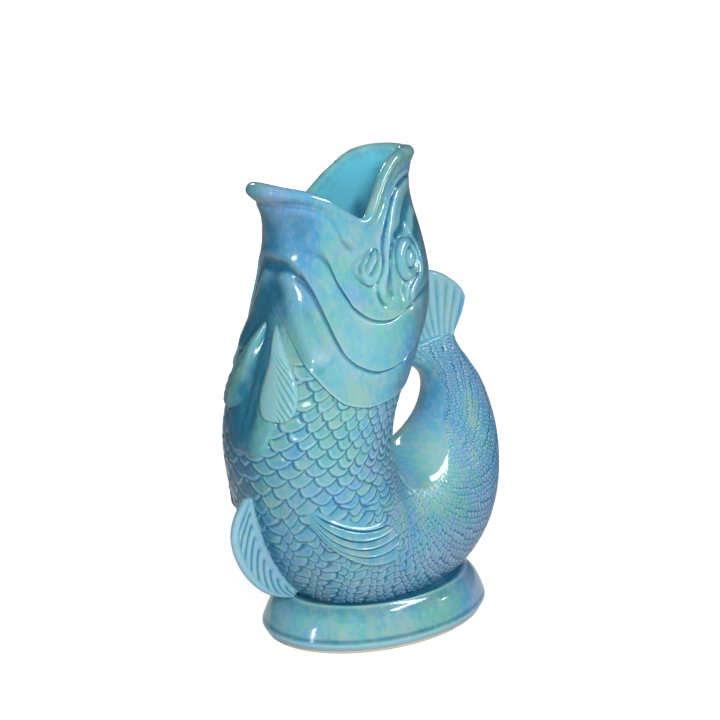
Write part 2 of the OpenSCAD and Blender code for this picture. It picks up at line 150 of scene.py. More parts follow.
def along(rows, s):
    """Value at s on a smooth curve through the rows."""
    s = np.clip(s, 0, len(rows) - 1 - 1e-6)
    i = s.astype(int)
    t = (s - i)[..., None]
    first, last = (i > 0)[..., None], (i + 2 < len(rows))[..., None]
    b, c = rows[i], rows[i + 1]
    a = np.where(first, rows[np.maximum(i - 1, 0)], 2 * b - c)
    d = np.where(last, rows[np.minimum(i + 2, len(rows) - 1)], 2 * c - b)
    return (b + (c - a) * t / 2 + (2 * a - 5 * b + 4 * c - d) * t**2 / 2
            + (3 * b - a - 3 * c + d) * t**3 / 2)


def half_angle(a):
    """The angle from the breast, the same on both sides."""
    a = np.mod(a, 360)
    return np.minimum(a, 360 - a)


def round_value(pairs, a):
    """Value at angle a on a smooth curve through pairs of angle and value."""
    place = np.interp(half_angle(a), pairs[:, 0], np.arange(len(pairs)))
    return along(pairs, place)[..., 1]


def skin(s, a, lift=0.0):
    """Points at station s and angle a, lifted off the skin."""
    s, a, lift = np.broadcast_arrays(s, a, lift)
    q = along(SLICE_SHARES, s.astype(float))
    front = q[..., 0:2] * (BODY_LENGTH, BODY_HEIGHT)
    back = q[..., 2:4] * (BODY_LENGTH, BODY_HEIGHT)
    reach = (front - back) / 2
    grow = 1 + lift / np.linalg.norm(reach, axis=-1)
    turn = np.radians(a)
    xz = (front + back) / 2 + reach * (grow * np.cos(turn))[..., None]
    egg = 1 + read_off(EGG_SHARES, s) * np.cos(turn)
    y = -(q[..., 4] * BODY_WIDTH + lift) * np.sin(turn) * egg
    return np.stack([FISH_BACK + xz[..., 0], y, xz[..., 1]], axis=-1)


def station_length(s, a):
    """Length of skin along one station."""
    step = skin(s + PROBE, a) - skin(s - PROBE, a)
    return np.linalg.norm(step, axis=-1) / (2 * PROBE)


def degree_length(s, a):
    """Length of skin across one degree."""
    step = skin(s, a + PROBE) - skin(s, a - PROBE)
    return np.linalg.norm(step, axis=-1) / (2 * PROBE)


def smooth_step(x, low, high):
    t = np.clip((x - low) / (high - low), 0, 1)
    return t * t * (3 - 2 * t)


def band_of(x, rise, fall):
    """1 between two slopes, each given by where it starts and ends."""
    return smooth_step(x, *rise) * (1 - smooth_step(x, *fall))


def hump(x, width):
    """A rounded hump, 1 at x = 0 and down to a third at the width."""
    return np.exp(-(x / width) ** 2)


def unit(v):
    return v / np.maximum(np.linalg.norm(v, axis=-1, keepdims=True), 1e-12)


# Relief of the skin

# Creases and ridges of the head as (station, angle) paths: height and the widths of
# its two flanks in millimetres, the first flank towards the breast
HEAD_LINES = [
    # the groove under the lip, which runs on softly past the corner of the mouth
    (-0.9, 1.5, 2.6, [(3.24, 0), (3.24, 12), (3.22, 24), (3.25, 36), (3.34, 44), (3.55, 51),
                      (3.95, 56), (4.40, 58), (4.85, 59), (5.20, 61), (5.50, 63)]),
    # the deep groove behind the upper jaw, which runs on round the lobe of the cheek
    (-2.2, 1.0, 1.3, [(2.44, 162), (2.47, 146), (2.56, 134), (2.78, 124), (3.12, 116),
                      (3.50, 109.5), (4.03, 102), (4.43, 96), (4.90, 89.5), (5.33, 86),
                      (5.67, 84), (6.08, 80.5), (6.35, 77), (6.60, 73), (6.74, 68)]),
    # the band between the jaw and the eye, which ends in a finger
    (1.0, 1.9, 1.9, [(4.6, 97), (5.0, 92), (5.5, 87.5), (5.9, 85.5), (6.4, 81.5), (6.9, 79),
                     (7.35, 79.5)]),
    (-0.8, 1.0, 1.0, [(6.50, 76.5), (6.70, 75), (7.10, 75), (7.45, 77), (7.66, 81)]),
    (-0.9, 1.5, 1.6, [(5.10, 97), (5.50, 91), (5.90, 87.5), (6.30, 86), (6.62, 85), (7.10, 84.5),
                      (7.50, 85)]),
    # the hollow over the eye and the brow behind it
    (-1.3, 2.0, 2.0, [(3.45, 138), (3.85, 128), (4.22, 119), (4.60, 112), (4.88, 104), (5.05, 98)]),
    (0.8, 2.2, 2.2, [(4.05, 142), (4.35, 130), (4.70, 123), (4.95, 114)]),
    # the lids behind the eye
    (1.1, 0.9, 0.9, [(5.30, 111), (5.50, 114), (5.90, 115.5), (6.25, 113), (6.52, 106.5),
                     (6.90, 99.5), (7.20, 96.5), (7.60, 97)]),
    (-1.3, 0.8, 1.2, [(5.05, 110), (5.25, 115), (5.60, 118), (6.00, 119), (6.42, 115.5),
                      (6.68, 108.5), (6.97, 101.5), (7.30, 99), (7.75, 99.5)]),
    # the soft fold of the breast above the gill's edge
    (1.4, 5.5, 6.5, [(5.8, 9), (6.5, 13), (7.2, 17), (7.9, 21), (8.6, 27), (9.3, 36), (9.7, 46)]),
]
# A crisp line throws up a shoulder on each side of it, a soft one hardly any
CRISP = 1.5
SHOULDER_CRISP = 0.26
SHOULDER_SOFT = 0.06
# How far a line reaches, in widths, and the shares of it over which it fades in and out
LINE_REACH = 6
FADE_IN = (-0.02, 0.14)
FADE_OUT = (0.86, 1.02)

# The smooth lobe of the breast between the pectoral fins
BREAST = np.array([(0, 13.05), (8, 13.1), (14, 12.95), (18, 12.6), (21, 12.0), (24, 10.5),
                   (180, 8)])
# Where the scales end on the inner side of the handle, by station
SCALE_END = np.array([
    (14.8, 200), (15.4, 152), (16.0, 145), (17.5, 139), (20.5, 132), (22.2, 130), (23.4, 135),
    (25.3, 150), (26.8, 145), (28.3, 141), (30.0, 132), (31.0, 128),
])
# Stations to one row of scales, and scales in one row, by station
ROW_PITCH = np.array([(8, 0.36), (11, 0.36), (13, 0.34), (14, 0.31), (15, 0.25), (16, 0.205),
                      (17, 0.185), (18, 0.185), (22, 0.19), (25, 0.175), (28, 0.19), (31, 0.20)])
ROW_COUNT = np.array([(8, 26), (12.6, 25), (13.6, 22), (14.6, 22), (15.4, 27), (16.2, 33), (17, 38),
                      (18, 41), (20, 45), (22, 48), (24, 50), (26, 44), (28, 36), (31, 30)])
# How far a scale leans towards the breast, as a share of its width for each row, by angle
LEAN = np.array([(0, 0.06), (40, 0.15), (70, 0.12), (100, 0.02), (180, 0)])
# How flat the arc of a scale is, by station: 0 is half an ellipse
FLAT_ARC = np.array([(15.0, 0.7), (18.0, 0.3)])
# How uneven the scales are, how their rows wave, how many degrees they crowd towards the
# back, how their columns wander, and how long a scale may be in half widths
SCALE_UNEVEN = 0.34
ROW_WAVE = 0.16
BACK_CROWDING = 16
COLUMN_WANDER = 0.22
SCALE_LONGEST = 1.2
# The groove round a scale as a share of its size, the bounds of its width, and the size
# from which the relief is full
GROOVE_SHARE = 0.13
GROOVE_BOUNDS = (0.24 * MM, 0.56 * MM)
FULL_SCALE = 4.5 * MM
# Drift of the film's colour, from blue (-) to green and straw (+): amount, then station
# and angle of the middle of the patch and its reach both ways
FILM_PATCHES = (
    (-0.3, 3.6, 25, 2.0, 30), (0.5, 5.6, 62, 1.2, 16), (0.7, 8.6, 72, 1.3, 26),
    (-0.4, 7.0, 46, 0.8, 12), (0.6, 11.2, 62, 0.9, 26), (-0.5, 12.2, 100, 1.0, 18),
    (0.4, 13.0, 56, 1.0, 18), (0.2, 16.2, 68, 1.4, 24), (-0.9, 23.0, 60, 6.0, 42),
    (0.4, 21.0, 112, 2.0, 16), (0.5, 26.5, 105, 1.4, 16), (0.9, 22.0, 145, 2.5, 20),
    (0.3, 4.0, 122, 1.8, 24), (0.4, 9.2, 20, 1.6, 10),
)
# Painted shade (-) and painted light (+): patches darker where the jug lies in shade and
# paler where it is lit, in the same terms. One with a negative angle lies on the right side
# only, the others on both sides.
PAINTED_SHADE_AND_LIGHT = (
    (-0.5, 4.4, 0, 1.6, 16), (-0.45, 4.2, 34, 0.9, 14), (-0.5, 7.0, 4, 1.8, 12),
    (-0.6, 10.5, 0, 2.8, 12), (-1.3, 10.0, -24, 4.5, 20), (-0.6, 15.0, -36, 2.5, 22),
    (-0.7, 16.2, 7, 1.4, 7), (-0.5, 14.0, 0, 2.0, 16), (-0.8, 13.0, 124, 3.0, 26),
    (-1.1, 24.5, 30, 6.0, 46), (0.5, 22.4, 144, 2.2, 18), (0.4, 8.9, 66, 1.3, 18),
    (0.35, 17.4, 52, 1.1, 14), (-0.3, 27.0, 165, 2.4, 24), (-0.7, 4.8, 132, 3.0, 24),
    (-0.5, 9.0, 125, 2.0, 22),
)
# Painted shade inside the mouth, darker deep in it, in the same terms
MOUTH_PAINTED_SHADE = (
    (-0.8, 4.6, 130, 0.8, 8), (-0.6, 3.1, 102, 0.8, 7), (-0.4, 1.9, 150, 0.6, 14),
    (-0.5, 3.6, 84, 0.5, 6),
)


def plate_heights(s, a, height):
    """Gill plates: each rises to its lower edge, falls away below it into a groove, and
    is crisp at the side of the head and soft in front."""
    turn = half_angle(a)
    total = np.zeros(np.broadcast(s, a).shape)
    above = round_value(RIM, a)
    for line, share, width in PLATES:
        edge = round_value(line, a)
        stand = height * read_off(share, turn)
        fall = MM * read_off(width, turn)
        t = np.clip((s - above) / (edge - above), 0, 1)
        rise = t**PLATE_RISE + PLATE_BULGE * np.sin(math.pi * t)
        under = (s - edge) * station_length(s, a)
        drop = 1 - smooth_step(under, 0, fall)
        groove = PLATE_GROOVE * hump(under - 0.9 * fall, 0.4 * fall + 0.4 * MM)
        total += stand * (np.where(under < 0, rise, drop) - groove)
        above = edge
    return total


def row_number(s):
    """How many rows of scales lie above station s."""
    fine = np.linspace(8, TAIL_END + 1, 800)
    rate = 1 / read_off(ROW_PITCH, fine)
    rows = np.concatenate([[0], np.cumsum((rate[1:] + rate[:-1]) / 2 * np.diff(fine))])
    return np.interp(s, fine, rows), fine, rows


def hashed(i, j, salt):
    """A repeatable random share for each scale."""
    v = np.sin(i * 12.9898 + j * 78.233 + salt * 37.719) * 43758.5453
    return v - np.floor(v)


def scale_relief(s, a, sizes):
    """Overlapping scales: height in metres, how far a point is on a rim (+) or in a
    groove (-), and a random share for each scale."""
    turn = half_angle(a)
    rows, fine, numbers = row_number(s)
    rows = rows + ROW_WAVE * np.sin(np.radians(7 * turn) + 0.6 * s)
    row = np.floor(rows)
    pitch = read_off(ROW_PITCH, s) * station_length(s, a)
    degree = degree_length(s, a)
    crowded = turn + BACK_CROWDING * smooth_step(turn, 85, 150)
    lean = read_off(LEAN, turn) * (1 - smooth_step(s, 14.5, 17))
    wander = COLUMN_WANDER * np.sin(0.8 * rows + 0.29 * turn) * smooth_step(s, 13.5, 16)
    flat = read_off(FLAT_ARC, s)
    stretch, radius = np.sqrt(1 + 2 * flat), 1 + flat
    found = []
    for k in (row, row - 1):
        middle = np.interp(k + 0.5, numbers, fine)
        count = np.round(read_off(ROW_COUNT, middle))
        u = crowded / 360 * count + 0.5 * np.mod(k, 2) + lean * (rows - 20) + wander
        half = degree * 180 / count
        i = np.round(u)
        size = np.minimum(pitch, SCALE_LONGEST * half)
        uneven = SCALE_UNEVEN * np.clip(5 * MM / size, 0.5, 1.4) * (hashed(i, k, 1) - 0.5)
        x = stretch * (2 * (u - i) + 0.6 * uneven * (rows - k))
        y = (rows - k) / (1 + uneven) + flat
        out = np.hypot(x, y)
        slope = np.hypot(x / out * stretch / half, y / out / pitch)
        found.append(((out - radius) / slope, size, hashed(i, k, 2)))
    (own, size, share), (above, _, share_above) = found
    inside = own < 0
    line = np.clip(GROOVE_SHARE * size, *GROOVE_BOUNDS)
    groove = np.maximum(hump(own, line), hump(above, line))
    rim = np.where(inside, hump(own + 2.2 * line, 1.2 * line), 0)
    swell = np.where(inside, np.clip(1 + own / size, 0, 1), 0.3) - 0.5
    strength = np.clip(size / FULL_SCALE, 0.72, 1.0)
    height = strength * (sizes.scale_rim * (0.8 * rim + 0.8 * swell) - sizes.scale_groove * groove)
    return height, rim - groove, np.where(inside, share, share_above)


def line_distance(points, path, samples=70):
    """Distance from points to a path on the skin, which side they are on (-1 towards
    the breast), and how far along the path the nearest point is."""
    places = along(np.array(path, float), np.linspace(0, len(path) - 1, samples))
    line = skin(places[:, 0], places[:, 1])
    tangent = unit(np.gradient(line, axis=0))
    outward = unit(skin(places[:, 0], places[:, 1], MM) - line)
    across = unit(np.cross(outward, tangent))
    towards_back = skin(places[:, 0], places[:, 1] + 1) - line
    flip = np.sign((across * towards_back).sum(-1))
    apart = points[:, None, :] - line[None]
    far = np.linalg.norm(apart, axis=-1)
    near = far.argmin(axis=1)
    pick = np.arange(len(points))
    side = np.sign((apart[pick, near] * across[near]).sum(-1) * flip[near])
    return far[pick, near], side, near / (samples - 1)


def line_relief(s, a, lines):
    """Sum of the creases and ridges at each point of a grid."""
    turn = half_angle(a)
    base = skin(s, turn)
    total = np.zeros(s.shape)
    for height, width_front, width_back, path in lines:
        reach = LINE_REACH * max(width_front, width_back) * MM
        stations, angles = zip(*path)
        near = ((s > min(stations) - 1) & (s < max(stations) + 1)
                & (turn > min(angles) - 12) & (turn < max(angles) + 12))
        if not near.any():
            continue
        distance, side, t = line_distance(base[near], path)
        width = np.where(side < 0, width_front, width_back) * MM
        starts = 1 if angles[0] == 0 else smooth_step(t, *FADE_IN)
        ends = starts * (1 - smooth_step(t, *FADE_OUT))
        shoulder = SHOULDER_CRISP if max(width_front, width_back) < CRISP else SHOULDER_SOFT
        shape = hump(distance, width) - shoulder * hump(distance - 2.6 * width, 1.5 * width)
        total[near] += np.where(distance < reach, height * MM * ends * shape, 0)
    return total


def blurred(values, reach):
    """Mean over a square of 2 reach + 1 points, closed round the columns."""
    for axis, mode in ((0, "edge"), (1, "wrap")):
        pad = [(0, 0), (0, 0)]
        pad[axis] = (reach + 1, reach)
        runs = np.cumsum(np.pad(values, pad, mode=mode), axis=axis)
        n = values.shape[axis]
        upper = np.take(runs, np.arange(2 * reach + 1, 2 * reach + 1 + n), axis=axis)
        lower = np.take(runs, np.arange(0, n), axis=axis)
        values = (upper - lower) / (2 * reach + 1)
    return values


def tone_of(height, reach=5, depth=0.5 * MM):
    """How far each point lies over (+) or under (-) its surroundings, from -1 to 1."""
    return np.clip((height - blurred(height, reach)) / depth, -1, 1)


def patchwork(patches, s, a):
    """Sum of the patches at each point."""
    turn, signed = half_angle(a), np.mod(a + 180, 360) - 180
    total = 0
    for amount, station, angle, reach, spread in patches:
        apart = (signed if angle < 0 else turn) - angle
        total = total + amount * hump((s - station) / reach, 1) * hump(apart / spread, 1)
    return total


# Meshes


# Points of a grid's outer lines that lie closer than this are one
JOIN_WITHIN = 0.002 * MM


def grid_normals(points):
    """Outward normals of a grid that is closed round its columns."""
    loop = points[:, :-1]
    across = np.roll(loop, -1, axis=1) - np.roll(loop, 1, axis=1)
    across = np.concatenate([across, across[:, :1]], axis=1)
    up = np.gradient(points, axis=0)
    return unit(np.cross(across, up))


def linked(name, data):
    """A new object in the scene."""
    obj = bpy.data.objects.new(name, data)
    bpy.context.scene.collection.objects.link(obj)
    return obj


def add_layers(mesh, shape, tone, lustre, drift):
    """Gives each point the three values that the glaze reads."""
    # The first value holds where the glaze pools and breaks, together with painted shade and
    # painted light
    for label, values in (("glaze_pooling_and_painted_light", tone), ("glaze_lustre", lustre), ("glaze_drift", drift)):
        layer = mesh.attributes.new(label, "FLOAT", "POINT")
        values = np.broadcast_to(values, shape).reshape(-1)
        layer.data.foreach_set("value", values.astype(np.float32))


def grid_piece(name, points, tone, lustre=1.0, normals=None, flat_rows=(), drift=0.0):
    """A mesh from a grid of points. Lines of the grid that coincide are joined. A piece
    that is given no normals has its faces turned outwards."""
    rows, columns = points.shape[:2]
    mesh = bpy.data.meshes.new(name)
    bm = bmesh.new()
    bmesh.ops.create_grid(bm, x_segments=columns - 1, y_segments=rows - 1, size=1)
    bm.to_mesh(mesh)
    bm.free()
    mesh.vertices.foreach_set("co", points.reshape(-1).astype(np.float32))
    add_layers(mesh, (rows, columns), tone, lustre, drift)
    if normals is not None:
        layer = mesh.attributes.new("skin_normal", "FLOAT_VECTOR", "POINT")
        layer.data.foreach_set("vector", normals.reshape(-1).astype(np.float32))
    smooth = np.ones((rows - 1, columns - 1), bool)
    for r in flat_rows:
        smooth[r] = False
    mesh.polygons.foreach_set("use_smooth", smooth.reshape(-1))
    bm = bmesh.new()
    bm.from_mesh(mesh)
    edge = [v for v in bm.verts if v.is_boundary]
    bmesh.ops.remove_doubles(bm, verts=edge, dist=JOIN_WITHIN)
    if normals is None:
        bmesh.ops.dissolve_degenerate(bm, edges=bm.edges[:], dist=JOIN_WITHIN / 2)
        bmesh.ops.recalc_face_normals(bm, faces=bm.faces[:])
    bm.to_mesh(mesh)
    bm.free()
    if normals is not None:
        share_normals(mesh)
    return linked(name, mesh)


def share_normals(mesh):
    """Gives smooth faces the skin's own normals, so that pieces meet without a line."""
    found = np.zeros(len(mesh.vertices) * 3, np.float32)
    mesh.attributes["skin_normal"].data.foreach_get("vector", found)
    corners = np.zeros(len(mesh.loops), int)
    mesh.loops.foreach_get("vertex_index", corners)
    smooth = np.zeros(len(mesh.polygons), bool)
    mesh.polygons.foreach_get("use_smooth", smooth)
    sizes = np.zeros(len(mesh.polygons), int)
    mesh.polygons.foreach_get("loop_total", sizes)
    wanted = found.reshape(-1, 3)[corners] * np.repeat(smooth, sizes)[:, None]
    mesh.normals_split_custom_set(wanted.tolist())
    mesh.attributes.remove(mesh.attributes["skin_normal"])


def finish_piece(piece, material, node):
    """Gives a piece its material, hides the part of the frame that it stands for,
    and hangs it on the root.
    """
    piece.data.materials.append(material)
    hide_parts(node)
    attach(piece, "root")


def slab_piece(name, top, bottom, tone, drift=0.0):
    """A thin piece between two grids of points that share their outer edges."""
    points = np.concatenate([top, bottom[:, -2:0:-1], top[:, :1]], axis=1)
    far = np.zeros((len(top), points.shape[1] - top.shape[1]))
    tone, drift = (np.concatenate([values + 0 * top[..., 0], far], axis=1)
                   for values in (tone, drift))
    return grid_piece(name, points, tone, drift=drift)


def mirrored(points, side):
    return points * (1, -1, 1) if side == "right" else points


# Head, lip, belly, tail

# Radius of the lip's bead by the angle from the breast, as a share of its size, and how
# far the bead is drawn in at the two tips of the mouth, in millimetres
LIP_SWELL = np.array([(0, 1.38), (12, 1.32), (30, 1.10), (50, 0.95), (80, 0.92), (110, 0.92),
                      (140, 1.00), (165, 1.20), (180, 1.30)])
LIP_IN = np.array([(0, 3.4), (15, 2.6), (35, 1.2), (55, 0.6), (80, 0.4), (110, 0.6), (140, 1.4),
                   (165, 2.6), (180, 3.2)])
# How far below the bead the head's outside and its inside start
LIP_GAPS = (0.6 * MM, 0.8 * MM)
# Rows of the head between its lines, of the bead and of the inside, and the bead's turn
# from the outside to the inside in degrees
HEAD_ROWS = (62, 40, 38)
BEAD_ROWS = 25
BEAD_TURN = (-38, 186)
INSIDE_ROWS = 14
# How often the rows where bead and head meet are smoothed, and the rows over which the
# film thins out on the bead's inside
SMOOTHINGS = 4
FILM_ROWS = 6
# How deep the head's last row and the belly's first row lie, and from which angle a dark
# line of painted shade runs under the gill's edge
TUCK = 0.5 * MM
EDGE_SHOWS = 36
# Heights on the body in millimetres: the breast's lobe and hollow, the throat, the ground
# between the scales, and the lift of the scales
LOBE, HOLLOW, THROAT, GROUND = 1.5, 1.2, 0.3, -0.3
SCALE_LIFT = 0.15 * MM
# Rows and height of the dome that ends the tail, and rows of the body's inner wall
TIP_ROWS = 8
TIP_HEIGHT = 4 * MM
WALL_ROWS = 9
# Power that draws the body's columns and rows together
DRAWN = 0.94


def head_angles():
    """Angles of the head's columns, closer together round the eyes and the cheeks."""
    fine = np.linspace(0, 360, 1441)
    closeness = 1 + 1.5 * hump((half_angle(fine) - 88) / 32, 1)
    far = np.concatenate([[0], np.cumsum((closeness[1:] + closeness[:-1]) / 2)])
    return np.interp(np.linspace(0, far[-1], HEAD_COLUMNS + 1), far, fine)


def head_top_station(a, below):
    """Station a given length under the rim's line, measured square to it."""
    s = round_value(RIM, a)
    rise = (round_value(RIM, a + 1) - round_value(RIM, a - 1)) / 2
    slope = rise * station_length(s, a) / degree_length(s, a)
    down = (skin(s + PROBE, a) - skin(s - PROBE, a)) / (2 * PROBE)
    out = unit(skin(s, a, WALL) - skin(s, a))
    return s + below * np.sqrt(1 + slope**2) / np.linalg.norm(np.cross(out, down), axis=-1)


def rim_frame(a):
    """The rim's line at mid wall, and its outward and upward directions."""
    def place(angle, lift=-WALL / 2):
        return skin(round_value(RIM, angle), angle, lift)
    here = place(a)
    way = unit(place(a + 1) - place(a - 1))
    out = place(a, WALL / 2) - here
    side = unit(out - way * (out * way).sum(-1, keepdims=True))
    return here, side, np.cross(side, way)


def head_profile(sizes):
    """The whole section of the head, from the gill's edge up, over the lip and down
    the inside: points, normals, tones, lustre, drift, and the rows where the lip lies."""
    a = head_angles()
    turn = half_angle(a)
    bead_radius = sizes.lip_radius * round_value(LIP_SWELL, a)
    top = head_top_station(a, bead_radius + LIP_GAPS[0])
    edges = [top, round_value(CHEEK, a), round_value(MIDDLE, a), round_value(GILL, a)]
    rows = []
    for above, below, count in zip(edges, edges[1:], HEAD_ROWS):
        t = np.linspace(0, 1, count + 1)
        t = t - 0.10 * np.sin(2 * math.pi * t)
        rows.append(above + (below - above) * t[:-1, None])
    s = np.concatenate(rows + [edges[3][None]])
    angles = np.broadcast_to(a, s.shape)
    on_head = np.minimum(s, edges[3] - 1e-6)
    heights = plate_heights(on_head, angles, sizes.plate_height)
    heights = heights + line_relief(on_head, angles, HEAD_LINES)
    shown = heights.copy()
    heights[-1] = -TUCK
    shown[-1] = np.where(turn > EDGE_SHOWS, heights[-1], shown[-2])
    flare = sizes.lip_flare * hump((s - top) * station_length(s, angles), 5 * MM)
    outer = skin(s, angles, heights + flare)[::-1]
    here, side, up = rim_frame(a)
    turns = np.radians(np.linspace(*BEAD_TURN, BEAD_ROWS))[:, None, None]
    swell = bead_radius[:, None] * (1 + 0.10 * np.cos(turns))
    drawn_in = WALL / 2 + MM * round_value(LIP_IN, a)[:, None]
    middle = sizes.lip_flare + bead_radius[:, None] - drawn_in
    raised = 0.5 * (bead_radius - sizes.lip_radius)[:, None]
    bead = here + side * middle + up * raised + swell * (side * np.cos(turns) + up * np.sin(turns))
    start = head_top_station(a, bead_radius + LIP_GAPS[1])
    inner_s = start + (edges[3] - start) * np.linspace(0, 1, INSIDE_ROWS + 1)[1:, None]
    inner_angles = np.broadcast_to(a, inner_s.shape)
    points = np.concatenate([outer, bead, skin(inner_s, inner_angles, -WALL)])
    first, last = len(outer), len(outer) + len(bead) - 1
    for _ in range(SMOOTHINGS):
        for low, high in ((first - 4, first + 3), (last - 2, last + 4)):
            around = points[low - 1:high - 1] + 2 * points[low:high] + points[low + 1:high + 1]
            points[low:high] = around / 4
    points[:, -1] = points[:, 0]
    tone, drift = np.zeros(points.shape[:2]), np.zeros(points.shape[:2])
    # The head's tone: the glaze pools in its creases and breaks on its ridges, with the painted
    # shade and painted light added. Inside the mouth there is painted shade only.
    tone[:first] = np.clip(0.8 * tone_of(shown) + patchwork(PAINTED_SHADE_AND_LIGHT, s, angles), -1, 1)[::-1]
    tone[first:last] = -0.25 * smooth_step(turn, 70, 120)
    tone[-INSIDE_ROWS:] = patchwork(MOUTH_PAINTED_SHADE, inner_s, inner_angles)
    drift[:first] = patchwork(FILM_PATCHES, s, angles)[::-1]
    drift[first:last] = np.interp(turn, (50, 100), (-0.2, 0.5))
    film = 1 - np.clip((np.arange(len(points)) - last + FILM_ROWS) / FILM_ROWS, 0, 1)
    lustre = np.broadcast_to(film[:, None], tone.shape)
    return points, grid_normals(points), tone, lustre, drift, first - 3, last + 1


def build_head(material, sizes):
    *values, first, last = head_profile(sizes)
    for name, order in (("head", [*range(first + 1), *range(last, len(values[0])), 0]),
                        ("lip", [*range(first, last + 1), first])):
        points, normals, tone, lustre, drift = (part[order] for part in values)
        chords = (first, len(order) - 2) if name == "head" else (len(order) - 2,)
        piece = grid_piece(name, points, tone, lustre, normals, chords, drift)
        finish_piece(piece, material, name)


def scaled_share(s, a):
    """1 where the skin has scales, 0 where it is smooth."""
    turn = half_angle(a)
    breast = read_off(BREAST, turn)
    share = smooth_step(s, breast - 0.02, breast + 0.10)
    share = np.where(turn > 24, 1, share)
    end = read_off(SCALE_END, s)
    return share * (1 - smooth_step(turn, end - 1.2, end + 1.2))


def body_relief(s, a, sizes):
    """Height of the body's relief, its tone and its drift of colour."""
    height, mark, share = scale_relief(s, a, sizes)
    mask = scaled_share(s, a)
    turn = half_angle(a)
    breast = read_off(BREAST, turn)
    lobe = (1 - smooth_step(s, breast - 0.14, breast + 0.03)) * (1 - smooth_step(turn, 18, 23))
    lobe *= smooth_step(s, 8.5, 11.5)
    hollow = band_of(s, (9.5, 11), (11.5, 12.6))
    hollow *= hump((turn - 3) * degree_length(s, a), 4 * MM)
    throat = 1 - smooth_step(s - round_value(GILL, a), 0.0, 1.2)
    throat *= 1 - smooth_step(turn, 24, 40)
    total = LOBE * lobe - HOLLOW * hollow + THROAT * throat + GROUND
    total = mask * (height + SCALE_LIFT) + total * MM
    # The scales' grooves pool the glaze and their rims break it. Painted shade darkens the belly
    # low down just above the foot and in the breast's hollow, and the painted shade and painted
    # light are added
    pooled = hump((skin(s, a)[..., 2] - FLOOR) / (9 * MM), 1) * (s > 14) * (s < 24)
    tone = np.clip(mask * mark + patchwork(PAINTED_SHADE_AND_LIGHT, s, a) - 0.3 * pooled - 0.5 * hollow, -1, 1)
    return total, tone, patchwork(FILM_PATCHES, s, a) + 0.7 * mask * (share - 0.5)


def body_sheet(sizes):
    """The outside of the belly and the tail, from the gill's edge to the tail's end."""
    a = body_angles()
    start = round_value(GILL, a) - 0.12
    t = np.linspace(0, 1, 2 * BELLY_ROWS + 1)[:, None]
    belly = start + (JOINT - start) * t**DRAWN
    tail = np.linspace(JOINT, TAIL_END, 2 * TAIL_ROWS + 1)[1:, None]
    s = np.concatenate([belly, np.broadcast_to(tail, (2 * TAIL_ROWS, len(a)))])
    angles = np.broadcast_to(a, s.shape)
    height, mark, drift = body_relief(s, angles, sizes)
    reach = np.interp(half_angle(angles), (20, 42), (0.14, 0.30))
    tuck = smooth_step(s, start + reach, start + 0.05)
    height = height * (1 - tuck) - TUCK * tuck
    points = skin(s, angles, height)
    points[..., 2] = np.maximum(points[..., 2], FLOOR)
    dome = np.linspace(0, math.pi / 2, TIP_ROWS + 1)[1:, None, None]
    end, centre = points[-1], skin(TAIL_END, 0.0) / 2 + skin(TAIL_END, 180.0) / 2
    way = unit(skin(TAIL_END, 90.0) - skin(TAIL_END - 0.5, 90.0)) * (1, 0, 1)
    cap = centre + (end - centre) * np.cos(dome) + way * TIP_HEIGHT * np.sin(dome)
    points = np.concatenate([points, cap])
    mark, drift = (np.concatenate([v, np.zeros((len(cap), len(a)))]) for v in (mark, drift))
    points[:, -1] = points[:, 0]
    normals = -grid_normals(points)
    normals[-1] = way
    return points, normals, mark, drift


def body_angles():
    """Angles of the body's columns, closer together on the scaled side."""
    t = np.linspace(-1, 1, BODY_COLUMNS + 1)
    return 180 + 180 * np.sign(t) * np.abs(t) ** DRAWN


def body_piece(name, node, sheet, inner, material, tip=False):
    """A closed piece from rows of the body's outside and rows of its inner wall. At the
    tip both close to a point, and elsewhere the inside runs back to the outside."""
    points, normals, mark, drift = (part[::-1] for part in sheet)
    rows = len(points)
    back = slice(0, 0 if tip else 1)
    extra = len(inner) + (0 if tip else 1)
    flat = np.zeros((extra, points.shape[1]))
    whole = np.concatenate([points, inner, points[back]])
    facing = np.concatenate([normals, grid_normals(inner), normals[back]])
    lustre = np.concatenate([np.ones(rows), np.zeros(extra)])[:, None]
    chords = (rows - 1,) if tip else (rows - 1, len(whole) - 2)
    piece = grid_piece(name, whole, np.concatenate([mark, flat]), lustre, facing, chords,
                       np.concatenate([drift, flat]))
    finish_piece(piece, material, node)


def inner_wall(first, last):
    """Rows of the inner wall between two stations."""
    a = body_angles()
    s = first + (last - first) * np.linspace(0, 1, WALL_ROWS)[:, None] + 0 * a
    inner = skin(s, np.broadcast_to(a, s.shape), -WALL)
    inner[..., 2] = np.maximum(inner[..., 2], FLOOR + WALL)
    inner[:, -1] = inner[:, 0]
    return inner


def build_body(material, sizes):
    sheet = body_sheet(sizes)
    start = round_value(GILL, body_angles())
    ends = (start, (start + JOINT) / 2, JOINT, (JOINT + BORE_END) / 2, BORE_END)
    cuts = (0, BELLY_ROWS, 2 * BELLY_ROWS, 2 * BELLY_ROWS + TAIL_ROWS, len(sheet[0]) - 1)
    names = ("belly_upper", "belly_lower", "tail_lower", "tail_upper")
    for i, name in enumerate(names):
        outer = [values[cuts[i]:cuts[i + 1] + 1] for values in sheet]
        inner = inner_wall(ends[i], ends[i + 1])
        tip = name == names[-1]
        if tip:
            pole = np.broadcast_to(inner[-1].mean(axis=0), inner[-1:].shape)
            inner = np.concatenate([inner, pole])
        body_piece(name, name.split("_")[0], outer, inner, material, tip)


# Fins and lobes

